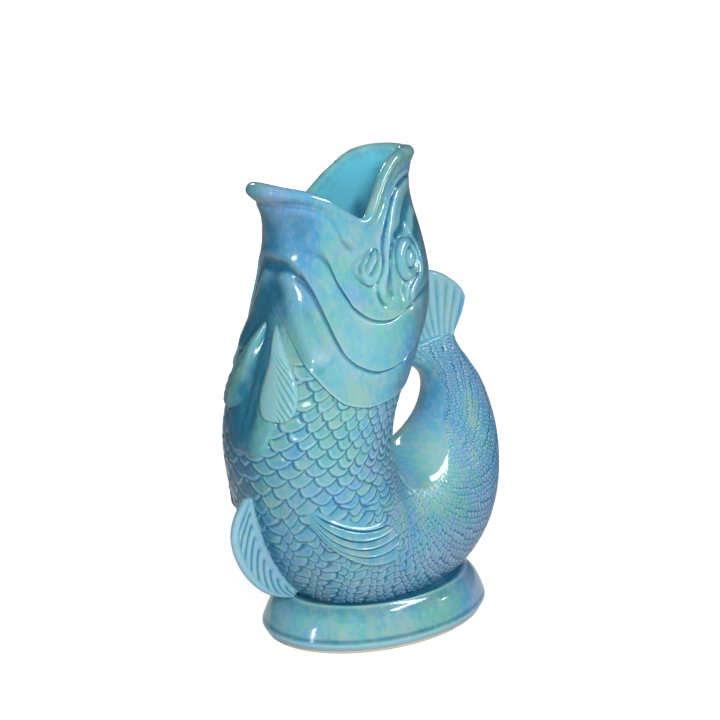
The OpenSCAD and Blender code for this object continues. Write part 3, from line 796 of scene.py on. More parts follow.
TAIL_FIN_HEIGHT = 36.5 * MM
TAIL_FIN_THICK = 9 * MM
FIN_EDGE = 3.2 * MM
FAN_TIPS = np.array([(-0.87, 0.87), (-0.74, 1.00), (-0.50, 0.985), (-0.26, 0.92), (-0.03, 0.80),
                     (0.16, 0.66), (0.26, 0.50)])
FAN_LOW, FAN_HIGH = 10.62, 7.6
FRONT_WIDTHS = np.array([0.14, 0.62, 0.90, 1.00, 1.00, 0.95, 0.85, 0.70, 0.48, 0.20])[:, None]
FRONT_FIN_WIDTH = 18 * MM
FRONT_FIN_THICK = 5 * MM
FRONT_TOP, FRONT_END = 14.45, 17.3
PECTORAL = np.array([(8.25, 4, 6), (8.6, 3, 8), (9.1, 3, 13.5), (9.6, 3, 20), (10.1, 3.5, 27),
                     (10.7, 4.5, 33), (11.2, 6.5, 34.5), (11.5, 10, 32.5), (11.72, 17, 27)])
LEAF = np.array([(5.13, 79.5, 82.5), (5.42, 69, 82.5), (5.75, 60.5, 81.5), (6.0, 59.5, 80.5),
                 (6.2, 60, 79), (6.42, 62, 76.5), (6.6, 64.5, 73.5), (6.74, 68, 70.5)])
# The folds between the petals of a cheek lobe, in the terms of the head's lines
LEAF_LINES = [
    (-2.0, 0.7, 1.1, [(5.14, 82), (5.35, 80.3), (5.62, 77.6), (5.9, 74.6), (6.15, 71), (6.32, 69)]),
    (-1.9, 0.7, 1.1, [(5.14, 81.4), (5.32, 78), (5.5, 73.8), (5.7, 70.4), (5.92, 68.4),
                      (6.25, 67)]),
    (-1.6, 0.7, 1.1, [(5.16, 80.6), (5.3, 76), (5.5, 70.2), (5.72, 66.4), (5.95, 64.2),
                      (6.25, 63.6)]),
]
FLANK_UPPER = np.array([(14.42, 40), (14.75, 56), (15.2, 72), (15.72, 88)])
FLANK_LOWER = np.array([(14.5, 38.5), (15.15, 44.5), (15.7, 52), (16.3, 60), (16.95, 69),
                        (17.6, 81)])
FLANK_BULGE = 12
FLANK_BANDS = 5.2
FLANK_SAG = 1.1
# How far these stand out from the skin, and how deep their edges are sunk in it
PECTORAL_HEIGHT = 4.2 * MM
FLANK_HEIGHT = 2.7 * MM
LEAF_HEIGHT = 4.6 * MM
EYE_HEIGHT = 3.7 * MM
SUNK = 0.9 * MM
# Degrees from ray to ray of the tail fan, and ribs along the front and the breast fins
RAY_ANGLE = 8.5
FRONT_RIBS = 9.5
PECTORAL_RIBS = 11.5
# Rows and columns of the grids: those of the two fins in the middle give the straight
# rows, the rows round the edge and the columns
FAN_GRID = (102, 8, 260)
FRONT_GRID = (40, 10, 230)
PECTORAL_GRID = (150, 130)
FLANK_GRID = (150, 220)
LEAF_GRID = (110, 110)
EYE_GRID = (26, 97)
RING_GRID = (181, 37)
EYE = (5.88, 106.5)
EYE_TALL = 5.3 * MM
EYE_WIDE = 4.3 * MM
# Width and height of the ring round the eye, from below it, over its back and its top
# to its front, in millimetres
EYE_RING = np.array([(5.6, 3.0), (2.2, 1.6), (0.8, 0.3), (0.6, 0.2), (0.8, 0.4), (2.4, 1.6),
                     (5.4, 3.0), (7.0, 3.6), (7.4, 3.7), (7.2, 3.7), (7.6, 3.7), (7.6, 3.6),
                     (5.6, 3.0)])
# How far the eye leans forward at its foot, as a share of its height
EYE_LEAN = 0.24
# Where the rays of the tail fan run together
FAN_CENTRE = np.array([52, 0, 134]) * MM


def mix(a, b, t):
    return a + (b - a) * t


def edge_round(v, width):
    """A round edge: 0 at the ends of v and 1 from the width inwards."""
    t = np.clip(np.minimum(v, 1 - v) / width, 0, 1)
    return np.sqrt(1 - (1 - t) ** 2)


def far_edge(v, width):
    """A round edge at v = 1 only."""
    return edge_round(np.maximum(v, 0.5), width)


def grooves(x, width=0.2):
    """1 at the middle of a groove, one to each unit of x, and 0 between grooves."""
    return hump(x - np.round(x), width)


def fin_rows(first, last, count, fine):
    """Rows from the first on, which close up round the fin's edge at 1."""
    rounded = 1 - (1 - last) * np.cos(np.linspace(0, math.pi / 2, fine + 1)[1:])
    return np.concatenate([np.linspace(first, last, count), rounded])


def half_round(t, start):
    """A half round edge: 1 up to the start and down to 0 at t = 1."""
    return np.sqrt(1 - np.clip((t - start) / (1 - start), 0, 1) ** 2)


def fin_piece(name, place, half, tone, material):
    """A fin that stands half its thickness out on each side of its middle surface."""
    offset = np.stack([0 * half, half, 0 * half], axis=-1)
    finish_piece(slab_piece(name, place - offset, place + offset, tone), material, name)


def fan_grid():
    """The tail fan's middle surface: u runs up its rays and v from the head outwards."""
    q = np.linspace(0, 1, FAN_GRID[2])
    v = 0.6 * q + 0.2 * (1 - np.cos(math.pi * q))
    u, v = np.meshgrid(fin_rows(-0.12, 0.9, *FAN_GRID[:2]), v, indexing="ij")
    root_in, root_out = skin(FAN_LOW, 180.0), skin(TAIL_END, 0.0)
    tips = along(FAN_TIPS, v * (len(FAN_TIPS) - 1)) * TAIL_FIN_HEIGHT
    tip = root_out + np.stack([tips[..., 0], 0 * u, tips[..., 1]], axis=-1)
    first_tip = root_out + np.array([FAN_TIPS[0, 0], 0, FAN_TIPS[0, 1]]) * TAIL_FIN_HEIGHT
    ray = mix(mix(root_in, root_out, v[..., None]), tip, u[..., None])
    straight = mix(root_in, first_tip, u[..., None])
    inner = skin(mix(FAN_LOW, FAN_HIGH, u), 180.0, 0.4 * MM)
    place = ray + (inner - straight) * ((1 - v) ** 2)[..., None]
    place[..., 0] += 0.04 * TAIL_FIN_HEIGHT * np.sin(math.pi * np.clip(u, 0, 1)) * v**2
    return u, v, place


def build_tail_fin(material, sizes):
    u, v, place = fan_grid()
    rise = np.clip(u, 0, 1)
    out = place - FAN_CENTRE
    bearing = np.degrees(np.arctan2(out[..., 0], out[..., 2]))
    far = np.hypot(out[..., 0], out[..., 2])
    field = smooth_step(far, 9 * MM, 15 * MM) * (1 - smooth_step(rise, 0.80, 0.97))
    cut = grooves(bearing / RAY_ANGLE + 0.2, 0.24)
    thick = mix(TAIL_FIN_THICK, FIN_EDGE, rise**0.7) / 2
    half = (thick + sizes.rib_height * (0.25 - 0.8 * cut) * field) * edge_round(v, 0.03)
    half = half * half_round(u, 0.94)
    half[0] = 0
    # Painted light: the fan is paler all over, and darker in the grooves between its rays
    fin_piece("tail_fin", place, half, 0.85 + (0.15 - 1.2 * cut) * field, material)


def build_front_fin(material, sizes):
    u = np.concatenate([[0], np.linspace(0.004, 0.996, FRONT_GRID[2]), [1]])
    u, v = np.meshgrid(u, fin_rows(-0.25, 0.86, *FRONT_GRID[:2]), indexing="ij")
    s = mix(FRONT_TOP, FRONT_END, u)
    root = skin(s, 0.0)
    out = unit(skin(s, 0.0, WALL) - root)
    width = FRONT_FIN_WIDTH * along(FRONT_WIDTHS, u * (len(FRONT_WIDTHS) - 1))
    across = np.clip(v, 0, 1)
    slant = u - 0.42 * np.sqrt((across - 0.22) ** 2 + 0.004)
    cut = grooves(FRONT_RIBS * slant, 0.22)
    rim = mix(0.62, 0.80, smooth_step(u, 0.0, 0.3))
    field = band_of(across, (0.13, 0.24), (rim - 0.08, rim))
    field *= smooth_step(u, 0.03, 0.10)
    edge = smooth_step(across, rim - 0.04, rim + 0.04)
    spine = hump(across - 0.08, 0.09)
    thick = mix(FRONT_FIN_THICK, FIN_EDGE, across) / 2 + (0.4 * edge + 0.5 * spine) * MM
    half = thick + sizes.rib_height * (0.3 - 0.8 * cut) * field
    half = half * half_round(v, 0.88) * np.sqrt(edge_round(u, 0.03))
    half[:, 0] = 0
    tone = 0.35 + (0.75 - 1.8 * cut) * field + 0.75 * edge + 0.6 * spine
    fin_piece("front_fin", root + out * width * v[..., None], half, tone, material)


def unit_grid(rows, columns):
    return np.meshgrid(np.linspace(0, 1, rows), np.linspace(0, 1, columns), indexing="ij")


def leaf_grid(outline, rows, columns):
    """Shares u and v along and across a leaf, and the stations and angles there."""
    u, v = unit_grid(rows, columns)
    q = along(outline, u * (len(outline) - 1))
    return u, v, q[..., 0], mix(q[..., 1], q[..., 2], v)


def stuck_piece(name, s, a, body, height, tone, side, material, sizes):
    """A piece on the skin, sunk where its body runs out, so that its glaze flows into
    the skin's."""
    turned = -a if side == "right" else a
    # The painted shade and painted light of the skin run on over the piece
    tone = np.clip(tone + patchwork(PAINTED_SHADE_AND_LIGHT, s, turned), -1, 1)
    base = plate_heights(s, a, sizes.plate_height)
    top = mirrored(skin(s, a, base + height - SUNK * (1 - body)), side)
    bottom = mirrored(skin(s, a, base - SUNK), side)
    name = name + "_" + side
    piece = slab_piece(name, top, bottom, tone, patchwork(FILM_PATCHES, s, turned))
    finish_piece(piece, material, name)


def build_pectoral(side, material, sizes):
    u, v, s, a = leaf_grid(PECTORAL, *PECTORAL_GRID)
    start = mix(0.60, 0.20, smooth_step(u, 0.20, 0.7))
    body = smooth_step(v, -0.10, start) * far_edge(v, 0.09)
    body = body * smooth_step(u, 0.0, 0.30) * far_edge(u, 0.07)
    swell = 0.72 + 0.28 * np.sin(math.pi * v) * np.sin(math.pi * u)
    field = band_of(v, (0.50, 0.70), (0.93, 0.98))
    field *= band_of(u, (0.25, 0.45), (0.93, 0.98))
    cut = grooves(PECTORAL_RIBS * (u - 0.55 * v), 0.20) * field
    height = PECTORAL_HEIGHT * swell * body - 0.9 * sizes.rib_height * cut
    # Painted light: the fin is paler away from its root, and darker in the grooves of its rays
    tone = 0.95 * smooth_step(v, 0.0, 0.35) - 1.2 * cut
    stuck_piece("pectoral_fin", s, a, body, height, tone, side, material, sizes)


def build_flank(side, material, sizes):
    u, v = unit_grid(*FLANK_GRID)
    band = FLANK_BANDS * v**0.9
    step = band - np.floor(band)
    reach = u * (1 - 0.030 * np.abs(2 * step - 1) ** 2)
    upper = along(FLANK_UPPER, reach * (len(FLANK_UPPER) - 1))
    lower = along(FLANK_LOWER, reach * (len(FLANK_LOWER) - 1))
    place = mix(upper, lower, v[..., None])
    s = place[..., 0] + FLANK_SAG * np.sin(math.pi * u) * v * (1 - v)
    a = place[..., 1] + FLANK_BULGE * reach**4 * 4 * v * (1 - v)
    body = smooth_step(v, 0, 0.24) * far_edge(v, 0.05)
    body = body * far_edge(u, 0.025) * smooth_step(u, 0, 0.40)
    field = smooth_step(u, 0.04, 0.30)
    cut = grooves(band, 0.11) * band_of(v, (0.02, 0.08), (0.93, 0.97))
    ridge = hump(step - 0.80, 0.12)
    relief = sizes.rib_height * field * (1.1 * ridge + 0.7 * step - 1.8 * cut)
    tone = field * np.clip(0.7 * ridge - 1.6 * cut - 0.25 * (1 - step), -1, 1)
    # Painted shadow along the fin's lower edge
    tone = tone - 0.5 * smooth_step(v, 0.96, 0.995)
    height = body * (FLANK_HEIGHT + relief)
    stuck_piece("flank_fin", s, a, body, height, tone, side, material, sizes)


def build_leaf(side, material, sizes):
    u, v, s, a = leaf_grid(LEAF, *LEAF_GRID)
    body = smooth_step(v, -0.10, 0.34) * far_edge(v, 0.22)
    body = body * smooth_step(u, -0.04, 0.30) * far_edge(u, 0.22)
    folds = line_relief(s, a, LEAF_LINES)
    tone = np.clip(0.7 * folds / MM + 0.45, -1, 1)
    stuck_piece("cheek_leaf", s, a, body, body * (LEAF_HEIGHT + folds), tone, side, material, sizes)


def eye_place(down, back):
    """Station and angle of a place so far down from the eye and back from it."""
    station = EYE[0] + down / station_length(*EYE)
    return station, EYE[1] + (back - EYE_LEAN * down) / degree_length(*EYE)


def eye_piece(name, s, a, height, tone, side, material, sizes):
    """A closed grid on the skin by the eye."""
    points = skin(s, a, plate_heights(s, a, sizes.plate_height) + height)
    if name == "eye":
        points[0], points[-1] = points[0].mean(axis=0), points[-1].mean(axis=0)
        points[:, -1] = points[:, 0]
    else:
        points[:, -1], points[-1] = points[:, 0], points[0]
    name = name + "_" + side
    finish_piece(grid_piece(name, mirrored(points, side), tone), material, name)


def build_eye(side, material, sizes):
    rows, columns = EYE_GRID
    k = np.sin(np.linspace(0, math.pi / 2, rows))
    k = np.concatenate([k, k[-2::-4]])
    k, b = np.meshgrid(k, np.linspace(0, 2 * math.pi, columns), indexing="ij")
    s, a = eye_place(k * EYE_TALL * np.cos(b), k * EYE_WIDE * np.sin(b))
    dome = EYE_HEIGHT * np.sqrt(np.clip(1 - k**2, 0, 1)) - 0.6 * MM
    height = np.where(np.arange(len(k))[:, None] < rows, dome, -1.2 * MM)
    eye_piece("eye", s, a, height, np.clip(0.15 - k**8, -1, 1), side, material, sizes)


def build_eye_ring(side, material, sizes):
    b, c = np.meshgrid(*(np.linspace(0, 2 * math.pi, count) for count in RING_GRID))
    shape = along(EYE_RING, b / (2 * math.pi) * (len(EYE_RING) - 1)) * MM
    t = shape[..., 0] * (0.5 - 0.5 * np.cos(c))
    s, a = eye_place((1.03 * EYE_TALL + t) * np.cos(b), (1.03 * EYE_WIDE + t) * np.sin(b))
    over = shape[..., 1] * np.abs(np.sin(c)) ** 0.8
    height = np.where(np.sin(c) > 0, over, MM * np.sin(c)) - 0.4 * MM
    tone = np.clip(np.sin(c) - 0.75, -0.6, 1)
    eye_piece("eye_ring", s, a, height, tone, side, material, sizes)


# Foot

FOOT_WIDTH = 103 * MM
FOOT_LENGTH = 144 * MM
# Segments round the foot and the ring, and points along their half outlines
FOOT_SPIN = (256, 90)
RING_SPIN = (192, 6)
# Half outline of the foot: distance from the axis and height, in millimetres
FOOT_OUTLINE = [
    (50.3, 2.0), (50.9, 3.2), (51.35, 4.3), (51.5, 5.0), (51.35, 5.9), (50.9, 7.4), (50.1, 10.0),
    (49.1, 13.0), (47.9, 16.0), (46.3, 19.0), (44.6, 21.2), (43.2, 22.5), (42.4, 23.3),
    (41.9, 23.9),
    (41.3, 24.0), (40.6, 23.8), (38.5, 23.6), (33.0, 23.6), (28.0, 23.6), (28.0, 21.6),
    (34.0, 20.0), (40.5, 14.0), (44.0, 6.0), (44.3, 2.0),
]
RING_OUTLINE = [(45.0, 2.0), (45.0, 0.3), (45.3, 0.0), (49.2, 0.0), (49.5, 0.3), (49.5, 2.0)]


def foot_glaze_and_painted_light(x, y, z):
    """Tone and drift of the glaze on the foot. The step below the bevel is pale, a painted
    reflection of the white sweep, and the rim round the fish is pale, a painted highlight.
    It is darker in the line over the step, darker up the dome, a painted reflection of the
    belly over it, and darker inside the rim, painted shade under the fish."""
    out = np.hypot((x - FISH_BACK) * FOOT_WIDTH / FOOT_LENGTH, y)
    # Painted reflection on the step and up the dome, painted highlight on the rim, painted shade
    # under the fish
    tone = 1.2 * (1 - smooth_step(z, 5.2 * MM, 6.2 * MM)) - 0.7 * hump(z - 7.4 * MM, 1.2 * MM)
    tone = tone + 0.6 * hump(out - 41.8 * MM, 0.9 * MM) * (z > 22 * MM)
    tone = tone - 0.9 * (1 - smooth_step(out, 38 * MM, 41 * MM))
    tone = tone - 0.45 * smooth_step(z, 14 * MM, 23 * MM) * (out > 38 * MM)
    return tone, 0.7 * hump(x + 10 * MM, 35 * MM) - 0.7 * hump(x - 55 * MM, 30 * MM)


def spun_oval(name, outline, segments, points):
    """A half outline spun round the foot's axis and stretched to the foot's oval."""
    curve = along(np.array(outline, float), np.linspace(0, len(outline) - 1, points)) * MM
    bm = bmesh.new()
    verts = [bm.verts.new((r, 0, z)) for r, z in curve]
    edges = [bm.edges.new(pair) for pair in zip(verts, verts[1:] + verts[:1])]
    bmesh.ops.spin(bm, geom=verts + edges, cent=(0, 0, 0), axis=(0, 0, 1), angle=2 * math.pi,
                   steps=segments, use_merge=True, use_duplicate=False)
    bmesh.ops.scale(bm, vec=(FOOT_LENGTH / FOOT_WIDTH, 1, 1), verts=bm.verts[:])
    bmesh.ops.translate(bm, vec=(FISH_BACK, 0, 0), verts=bm.verts[:])
    bmesh.ops.recalc_face_normals(bm, faces=bm.faces[:])
    mesh = bpy.data.meshes.new(name)
    bm.to_mesh(mesh)
    bm.free()
    places = np.zeros(len(mesh.vertices) * 3, np.float32)
    mesh.vertices.foreach_get("co", places)
    tone, drift = foot_glaze_and_painted_light(*places.reshape(-1, 3).T)
    add_layers(mesh, tone.shape, tone, 1.0, drift)
    mesh.polygons.foreach_set("use_smooth", np.ones(len(mesh.polygons), bool))
    return linked(name, mesh)


# Materials

# The film's layers: colour, size of their patches in millimetres, a shift so that no two
# agree, the noise over which they fade in, their strength, and which way the point's own
# drift leans them. The shimmer of 3 mm is coarser than the real one so that it shows.
FILM_LAYERS = (
    ("film_green", 55, 0.31, 0.44, 0.66, 0.85, 1),
    ("film_blue", 40, 1.17, 0.46, 0.68, 0.85, -1),
    ("film_lilac", 24, 2.63, 0.50, 0.70, 0.55, -1),
    ("film_straw", 12, 3.71, 0.50, 0.72, 0.50, 1),
    ("film_blue", 3.0, 4.09, 0.48, 0.62, 0.30, 0),
    ("film_lilac", 3.5, 6.11, 0.52, 0.64, 0.26, 0),
    ("film_straw", 2.5, 5.57, 0.50, 0.62, 0.26, 0),
)
DRIFT_LEAN = 0.22
# How much of the glaze's own colour the film hides, and the size of the clouds that break up
# the pooled glaze and the painted shade
FILM_COVER = 0.92
CLOUD_SIZE = 9 * MM
# Options of nodes
SMOOTH = {"interpolation_type": "SMOOTHSTEP"}
COLOUR = {"data_type": "RGBA"}
MULTIPLY, ADD, MULTIPLY_ADD, MAXIMUM = (
    {"operation": kind} for kind in ("MULTIPLY", "ADD", "MULTIPLY_ADD", "MAXIMUM"))


def linear(code):
    """An sRGB hex colour as linear light."""
    parts = [int(code[i:i + 2], 16) / 255 for i in (1, 3, 5)]
    return tuple(p / 12.92 if p <= 0.04045 else ((p + 0.055) / 1.055) ** 2.4 for p in parts)


def add_node(tree, kind, settings=None, **inputs):
    """Adds a node, sets its options, and sets or links its inputs, which go by name or
    by number. A node that is given as an input is linked from its first output."""
    node = tree.nodes.new(kind)
    for key, value in (settings or {}).items():
        setattr(node, key, value)
    for key, value in inputs.items():
        numbered = key[0] == "i" and key[1:].isdigit()
        socket = node.inputs[int(key[1:]) if numbered else key.replace("_", " ")]
        if isinstance(value, bpy.types.Node):
            value = value.outputs[0]
        if isinstance(value, bpy.types.NodeSocket):
            tree.links.new(value, socket)
        else:
            socket.default_value = value
    return node


def new_material(name):
    """A material with an empty tree, and the object's own coordinates in it."""
    material = bpy.data.materials.new(name)
    material.use_nodes = True
    tree = material.node_tree
    tree.nodes.clear()
    return material, tree, add_node(tree, "ShaderNodeTexCoord").outputs["Object"]


def glaze_material(colours):
    """Lustre glaze on slip-cast earthenware: a glassy turquoise coat under a thin
    metallic film. It pools deep in the creases and breaks pale on the edges, and the same
    value carries painted shade, darker where the jug lies in shade, and painted light, paler
    where it is lit. The film drifts from aqua through blue and lilac to green and straw in
    soft patches, with a fine shimmer of the same colours."""
    material, tree, place = new_material("lustre_glaze")
    tone, film, own = (
        add_node(tree, "ShaderNodeAttribute", {"attribute_name": name}).outputs["Fac"]
        for name in ("glaze_pooling_and_painted_light", "glaze_lustre", "glaze_drift"))
    glaze, edge, pool_and_shade, body = (
        (*value, 1) for value in (colours.glaze, colours.broken_glaze_and_light, colours.pooled_glaze_and_shade,
                                  colours.film_aqua))
    for key, across, shift, low, high, amount, way in FILM_LAYERS:
        where = add_node(tree, "ShaderNodeMapping", Vector=place,
                         Location=(shift, 0.7 * shift, 0), Scale=(1, 1, 0.6))
        value = add_node(tree, "ShaderNodeTexNoise", Vector=where, Scale=1 / (across * MM),
                         Detail=3.0, Roughness=0.55, Distortion=0.4)
        value = add_node(tree, "ShaderNodeMath", MULTIPLY_ADD, i0=own, i1=DRIFT_LEAN * way,
                         i2=value)
        mask = add_node(tree, "ShaderNodeMapRange", SMOOTH, i0=value, i1=low, i2=high, i3=0.0,
                        i4=amount)
        tint = (*getattr(colours, key), 1)
        body = add_node(tree, "ShaderNodeMix", COLOUR, i0=mask, i6=body, i7=tint).outputs[2]
    cover = add_node(tree, "ShaderNodeMath", MULTIPLY, i0=film, i1=FILM_COVER)
    body = add_node(tree, "ShaderNodeMix", COLOUR, i0=cover, i6=glaze, i7=body).outputs[2]
    # Paler where the glaze breaks thin and where light is painted, deeper in clouds where it pools
    # and where shade is painted
    thin = add_node(tree, "ShaderNodeMapRange", i0=tone, i1=0.05, i2=1.2, i3=0.0, i4=0.78)
    body = add_node(tree, "ShaderNodeMix", COLOUR, i0=thin, i6=body, i7=edge).outputs[2]
    cloud = add_node(tree, "ShaderNodeTexNoise", Vector=place, Scale=1 / CLOUD_SIZE, Detail=4.0,
                     Roughness=0.6)
    cloud = add_node(tree, "ShaderNodeMath", MULTIPLY_ADD, i0=cloud, i1=0.9, i2=-0.45)
    mottled = add_node(tree, "ShaderNodeMath", ADD, i0=tone, i1=cloud)
    thick = add_node(tree, "ShaderNodeMapRange", i0=mottled, i1=-0.10, i2=-0.95, i3=0.0, i4=0.88)
    body = add_node(tree, "ShaderNodeMix", COLOUR, i0=thick, i6=body, i7=pool_and_shade).outputs[2]
    ripple = add_node(tree, "ShaderNodeTexNoise", Vector=place, Scale=160.0, Detail=2.0)
    bump = add_node(tree, "ShaderNodeBump", Strength=0.10, Distance=0.4 * MM, Height=ripple)
    rough = add_node(tree, "ShaderNodeMapRange", i0=ripple, i1=0.3, i2=0.7, i3=0.08, i4=0.15)
    shader = add_node(tree, "ShaderNodeBsdfPrincipled", Base_Color=body, Roughness=rough,
                      Normal=bump, IOR=1.47)
    add_node(tree, "ShaderNodeOutputMaterial", Surface=shader)
    return material


def clay_material(colours):
    """Bare fired earthenware: the unglazed ring, dry and chalky with a fine grog."""
    material, tree, place = new_material("bare_earthenware")
    grog = add_node(tree, "ShaderNodeTexNoise", Vector=place, Scale=900.0, Detail=4.0)
    cloud = add_node(tree, "ShaderNodeTexNoise", Vector=place, Scale=60.0, Detail=2.0)
    body = add_node(tree, "ShaderNodeMix", COLOUR, i0=cloud, i6=(*colours.clay, 1),
                    i7=(*colours.clay_dark, 1)).outputs[2]
    bump = add_node(tree, "ShaderNodeBump", Strength=0.3, Distance=0.15 * MM, Height=grog)
    shader = add_node(tree, "ShaderNodeBsdfPrincipled", Base_Color=body, Roughness=0.85,
                      Normal=bump)
    add_node(tree, "ShaderNodeOutputMaterial", Surface=shader)
    return material


def floor_material():
    """Plain white paper sweep. What the camera and reflections see is lifted to white,
    a little less by the jug, so that the jug's shadow stays on it. Reflections see the sweep
    bright close by and dim further off, so that is what the glaze reflects."""
    material, tree, place = new_material("white_sweep")
    away = add_node(tree, "ShaderNodeVectorMath", {"operation": "LENGTH"},
                    i0=place).outputs["Value"]
    level = add_node(tree, "ShaderNodeMapRange", SMOOTH, i0=away, i1=0.1, i2=1.2, i3=0.86, i4=1.0)
    close = add_node(tree, "ShaderNodeMapRange", SMOOTH, i0=away, i1=0.12, i2=0.6, i3=0.60,
                     i4=0.06)
    path = add_node(tree, "ShaderNodeLightPath").outputs
    bounced = add_node(tree, "ShaderNodeMath", MAXIMUM, i0=path["Is Glossy Ray"],
                       i1=path["Is Transmission Ray"])
    bounced = add_node(tree, "ShaderNodeMath", MULTIPLY, i0=bounced, i1=close)
    seen = add_node(tree, "ShaderNodeMath", MAXIMUM, i0=path["Is Camera Ray"], i1=bounced)
    seen = add_node(tree, "ShaderNodeMath", MULTIPLY, i0=seen, i1=level)
    paper = add_node(tree, "ShaderNodeBsdfDiffuse", Color=(0.35, 0.35, 0.35, 1))
    glow = add_node(tree, "ShaderNodeEmission", Color=(1, 1, 1, 1), Strength=seen)
    both = add_node(tree, "ShaderNodeAddShader", i0=paper, i1=glow)
    add_node(tree, "ShaderNodeOutputMaterial", Surface=both)
    return material


# Stage

CAMERA_PLACE = (-40, 14.5, 0.9)
CAMERA_TARGET = (-0.0049, 0.0, 0.152)
LENS = 81.7
SENSOR = 36
FLOOR_SIZE = 30
WORLD_COLOUR = (0.85, 0.95, 1.0, 1)
WORLD_STRENGTH = 0.15


def look_at(obj, target):
    obj.rotation_euler = (Vector(target) - obj.location).to_track_quat("-Z", "Y").to_euler()


def around_jug(azimuth, elevation, distance):
    """A place round the jug: azimuth 0 looks at its left side, 90 at its handle."""
    az, el = math.radians(azimuth), math.radians(elevation)
    return (CAMERA_TARGET[0] + distance * math.cos(el) * math.sin(az),
            CAMERA_TARGET[1] - distance * math.cos(el) * math.cos(az),
            CAMERA_TARGET[2] + distance * math.sin(el))


# Azimuth, elevation, distance, width, height and power of each softbox, and whether it
# shows in the glaze. The wide ones light the jug, and the narrow ones only show as the
# crisp highlights that a glassy coat has.
SOFTBOXES = {
    "softbox_front": (-33, 22, 1.8, 0.6, 0.6, 26.5, False),
    "softbox_fill": (22, 30, 1.8, 0.6, 0.6, 4.0, False),
    "softbox_back": (160, 26, 1.8, 1.2, 1.0, 10.0, False),
    "softbox_left": (-74, 14, 1.2, 0.06, 0.18, 1.6, True),
    "softbox_right": (56, 17, 1.2, 0.05, 0.12, 1.2, True),
    "softbox_top": (44, 47, 1.2, 0.80, 0.14, 11.0, True),
    "softbox_rear": (170, 30, 1.2, 0.08, 0.26, 2.4, True),
}


def build_stage():
    scene = bpy.context.scene
    bm = bmesh.new()
    bmesh.ops.create_grid(bm, x_segments=1, y_segments=1, size=FLOOR_SIZE)
    mesh = bpy.data.meshes.new("floor")
    bm.to_mesh(mesh)
    bm.free()
    mesh.materials.append(floor_material())
    linked("floor", mesh)
    for name, (*place, width, height, power, shows) in SOFTBOXES.items():
        lamp = bpy.data.lights.new(name, "AREA")
        lamp.shape, lamp.size, lamp.size_y, lamp.energy = "RECTANGLE", width, height, power
        holder = linked(name, lamp)
        holder.location = around_jug(*place)
        holder.visible_glossy, holder.visible_diffuse = shows, not shows
        look_at(holder, CAMERA_TARGET)
    world = bpy.data.worlds.new("studio")
    world.use_nodes = True
    background = world.node_tree.nodes["Background"]
    background.inputs[0].default_value = WORLD_COLOUR
    background.inputs[1].default_value = WORLD_STRENGTH
    scene.world = world
    camera = bpy.data.cameras.new("camera")
    camera.lens, camera.sensor_width = LENS, SENSOR
    scene.camera = linked("camera", camera)
    scene.camera.location = around_jug(*CAMERA_PLACE)
    look_at(scene.camera, CAMERA_TARGET)
    scene.view_settings.view_transform = "Standard"


# Add-on


def length(name, text, value):
    return FloatProperty(name=name, description=text, default=value, min=0, unit="LENGTH",
                         precision=5)


def colour(name, text, code):
    return FloatVectorProperty(name=name, description=text, default=linear(code), subtype="COLOR",
                               size=3, min=0, max=1)


class JugSizes(PropertyGroup):
    plate_height: length("Gill plate", "How far a gill plate's lower edge stands out", 2.4 * MM)
    lip_radius: length("Lip", "Radius of the rolled bead round the mouth", 3.4 * MM)
    lip_flare: length("Lip flare", "How far the rim leans outwards", 0.6 * MM)
    scale_rim: length("Scale rim", "Height of the rim of a large scale", 0.26 * MM)
    scale_groove: length("Scale groove", "Depth of the groove round a large scale", 0.55 * MM)
    rib_height: length("Fin ribs", "Height of the ribs on the fins", 0.7 * MM)


class JugColours(PropertyGroup):
    glaze: colour("Glaze", "Turquoise of the plain glaze inside the mouth", "#6ccbe2")
    # The pooled glaze's colour is also that of the painted shade, and the broken glaze's also that
    # of the painted light and painted reflections
    pooled_glaze_and_shade: colour("Pooled glaze", "Glaze that has pooled in the creases", "#066a90")
    broken_glaze_and_light: colour("Broken glaze", "Glaze that has run thin over the edges", "#a6d6e6")
    film_aqua: colour("Aqua film", "Lustre film", "#6cb9c8")
    film_blue: colour("Blue film", "Lustre film", "#559fd8")
    film_lilac: colour("Lilac film", "Lustre film", "#a2aed6")
    film_green: colour("Green film", "Lustre film", "#74c0ac")
    film_straw: colour("Straw film", "Lustre film", "#adc2ae")
    clay: colour("Clay", "Bare fired clay", "#e6dccb")
    clay_dark: colour("Clay shade", "Darker patches of the bare clay", "#d3c4ac")


def glaze():
    found = bpy.data.materials.get("lustre_glaze")
    return found or glaze_material(bpy.context.scene.jug_colours)


class JUG_OT_head(Operator):
    """Builds the head with its gill plates, and the lip round the mouth"""
    bl_idname = "jug.head"
    bl_label = "Head and lip"

    def execute(self, context):
        build_head(glaze(), context.scene.jug_sizes)
        return {"FINISHED"}


class JUG_OT_body(Operator):
    """Builds the scaled belly and the hollow tail that is the handle"""
    bl_idname = "jug.body"
    bl_label = "Belly and tail"

    def execute(self, context):
        build_body(glaze(), context.scene.jug_sizes)
        return {"FINISHED"}


class JUG_OT_fins(Operator):
    """Builds the tail fan, the front fin, the breast fins and the flank fins"""
    bl_idname = "jug.fins"
    bl_label = "Fins"

    def execute(self, context):
        sizes = context.scene.jug_sizes
        build_tail_fin(glaze(), sizes)
        build_front_fin(glaze(), sizes)
        for side in ("left", "right"):
            build_pectoral(side, glaze(), sizes)
            build_flank(side, glaze(), sizes)
        return {"FINISHED"}


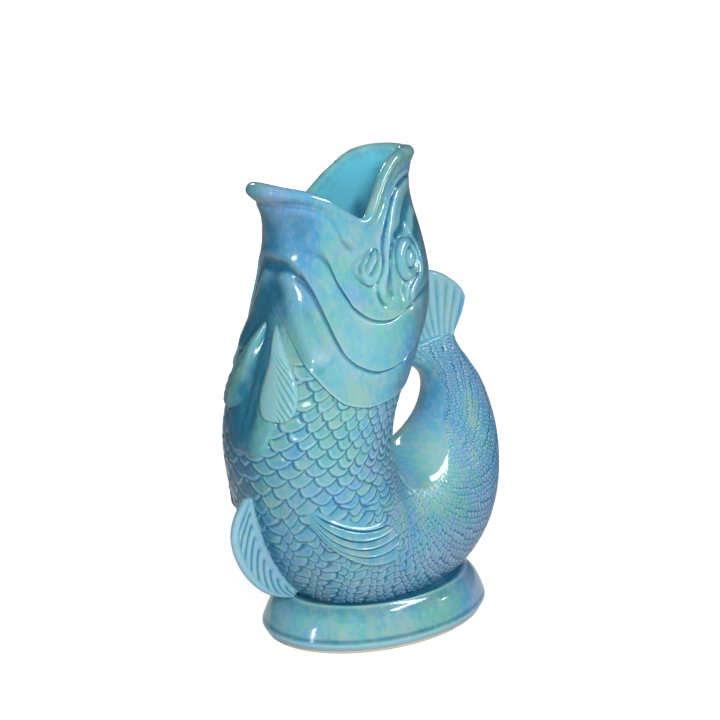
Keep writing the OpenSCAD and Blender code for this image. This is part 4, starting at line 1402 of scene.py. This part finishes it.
class JUG_OT_eyes(Operator):
    """Builds the eyes, the rings round them and the lobes of the cheeks"""
    bl_idname = "jug.eyes"
    bl_label = "Eyes and cheeks"

    def execute(self, context):
        sizes = context.scene.jug_sizes
        for side in ("left", "right"):
            build_eye(side, glaze(), sizes)
            build_eye_ring(side, glaze(), sizes)
            build_leaf(side, glaze(), sizes)
        return {"FINISHED"}


class JUG_OT_foot(Operator):
    """Builds the oval foot and the bare ring under it"""
    bl_idname = "jug.foot"
    bl_label = "Foot"

    def execute(self, context):
        foot = spun_oval("foot", FOOT_OUTLINE, *FOOT_SPIN)
        finish_piece(foot, glaze(), "foot")
        ring = spun_oval("foot_ring", RING_OUTLINE, *RING_SPIN)
        clay = clay_material(context.scene.jug_colours)
        finish_piece(ring, clay, "foot_ring")
        return {"FINISHED"}


class JUG_OT_stage(Operator):
    """Builds the floor, the softboxes and the camera"""
    bl_idname = "jug.stage"
    bl_label = "Stage"

    def execute(self, context):
        build_stage()
        return {"FINISHED"}


OPERATORS = (JUG_OT_foot, JUG_OT_body, JUG_OT_head, JUG_OT_fins, JUG_OT_eyes, JUG_OT_stage)


class JUG_PT_panel(Panel):
    bl_label = "Gurgle jug"
    bl_space_type = "VIEW_3D"
    bl_region_type = "UI"
    bl_category = "Jug"

    def draw(self, context):
        for group in (context.scene.jug_sizes, context.scene.jug_colours):
            for key in group.__annotations__:
                self.layout.prop(group, key)
        for operator in OPERATORS:
            self.layout.operator(operator.bl_idname)


CLASSES = (JugSizes, JugColours, *OPERATORS, JUG_PT_panel)


def register():
    for item in CLASSES:
        bpy.utils.register_class(item)
    bpy.types.Scene.jug_sizes = PointerProperty(type=JugSizes)
    bpy.types.Scene.jug_colours = PointerProperty(type=JugColours)


def unregister():
    del bpy.types.Scene.jug_colours
    del bpy.types.Scene.jug_sizes
    for item in reversed(CLASSES):
        bpy.utils.unregister_class(item)


def main():
    register()
    bpy.ops.jug.foot()
    bpy.ops.jug.body()
    bpy.ops.jug.head()
    bpy.ops.jug.fins()
    bpy.ops.jug.eyes()
    bpy.ops.jug.stage()


if __name__ == "__main__":
    main()
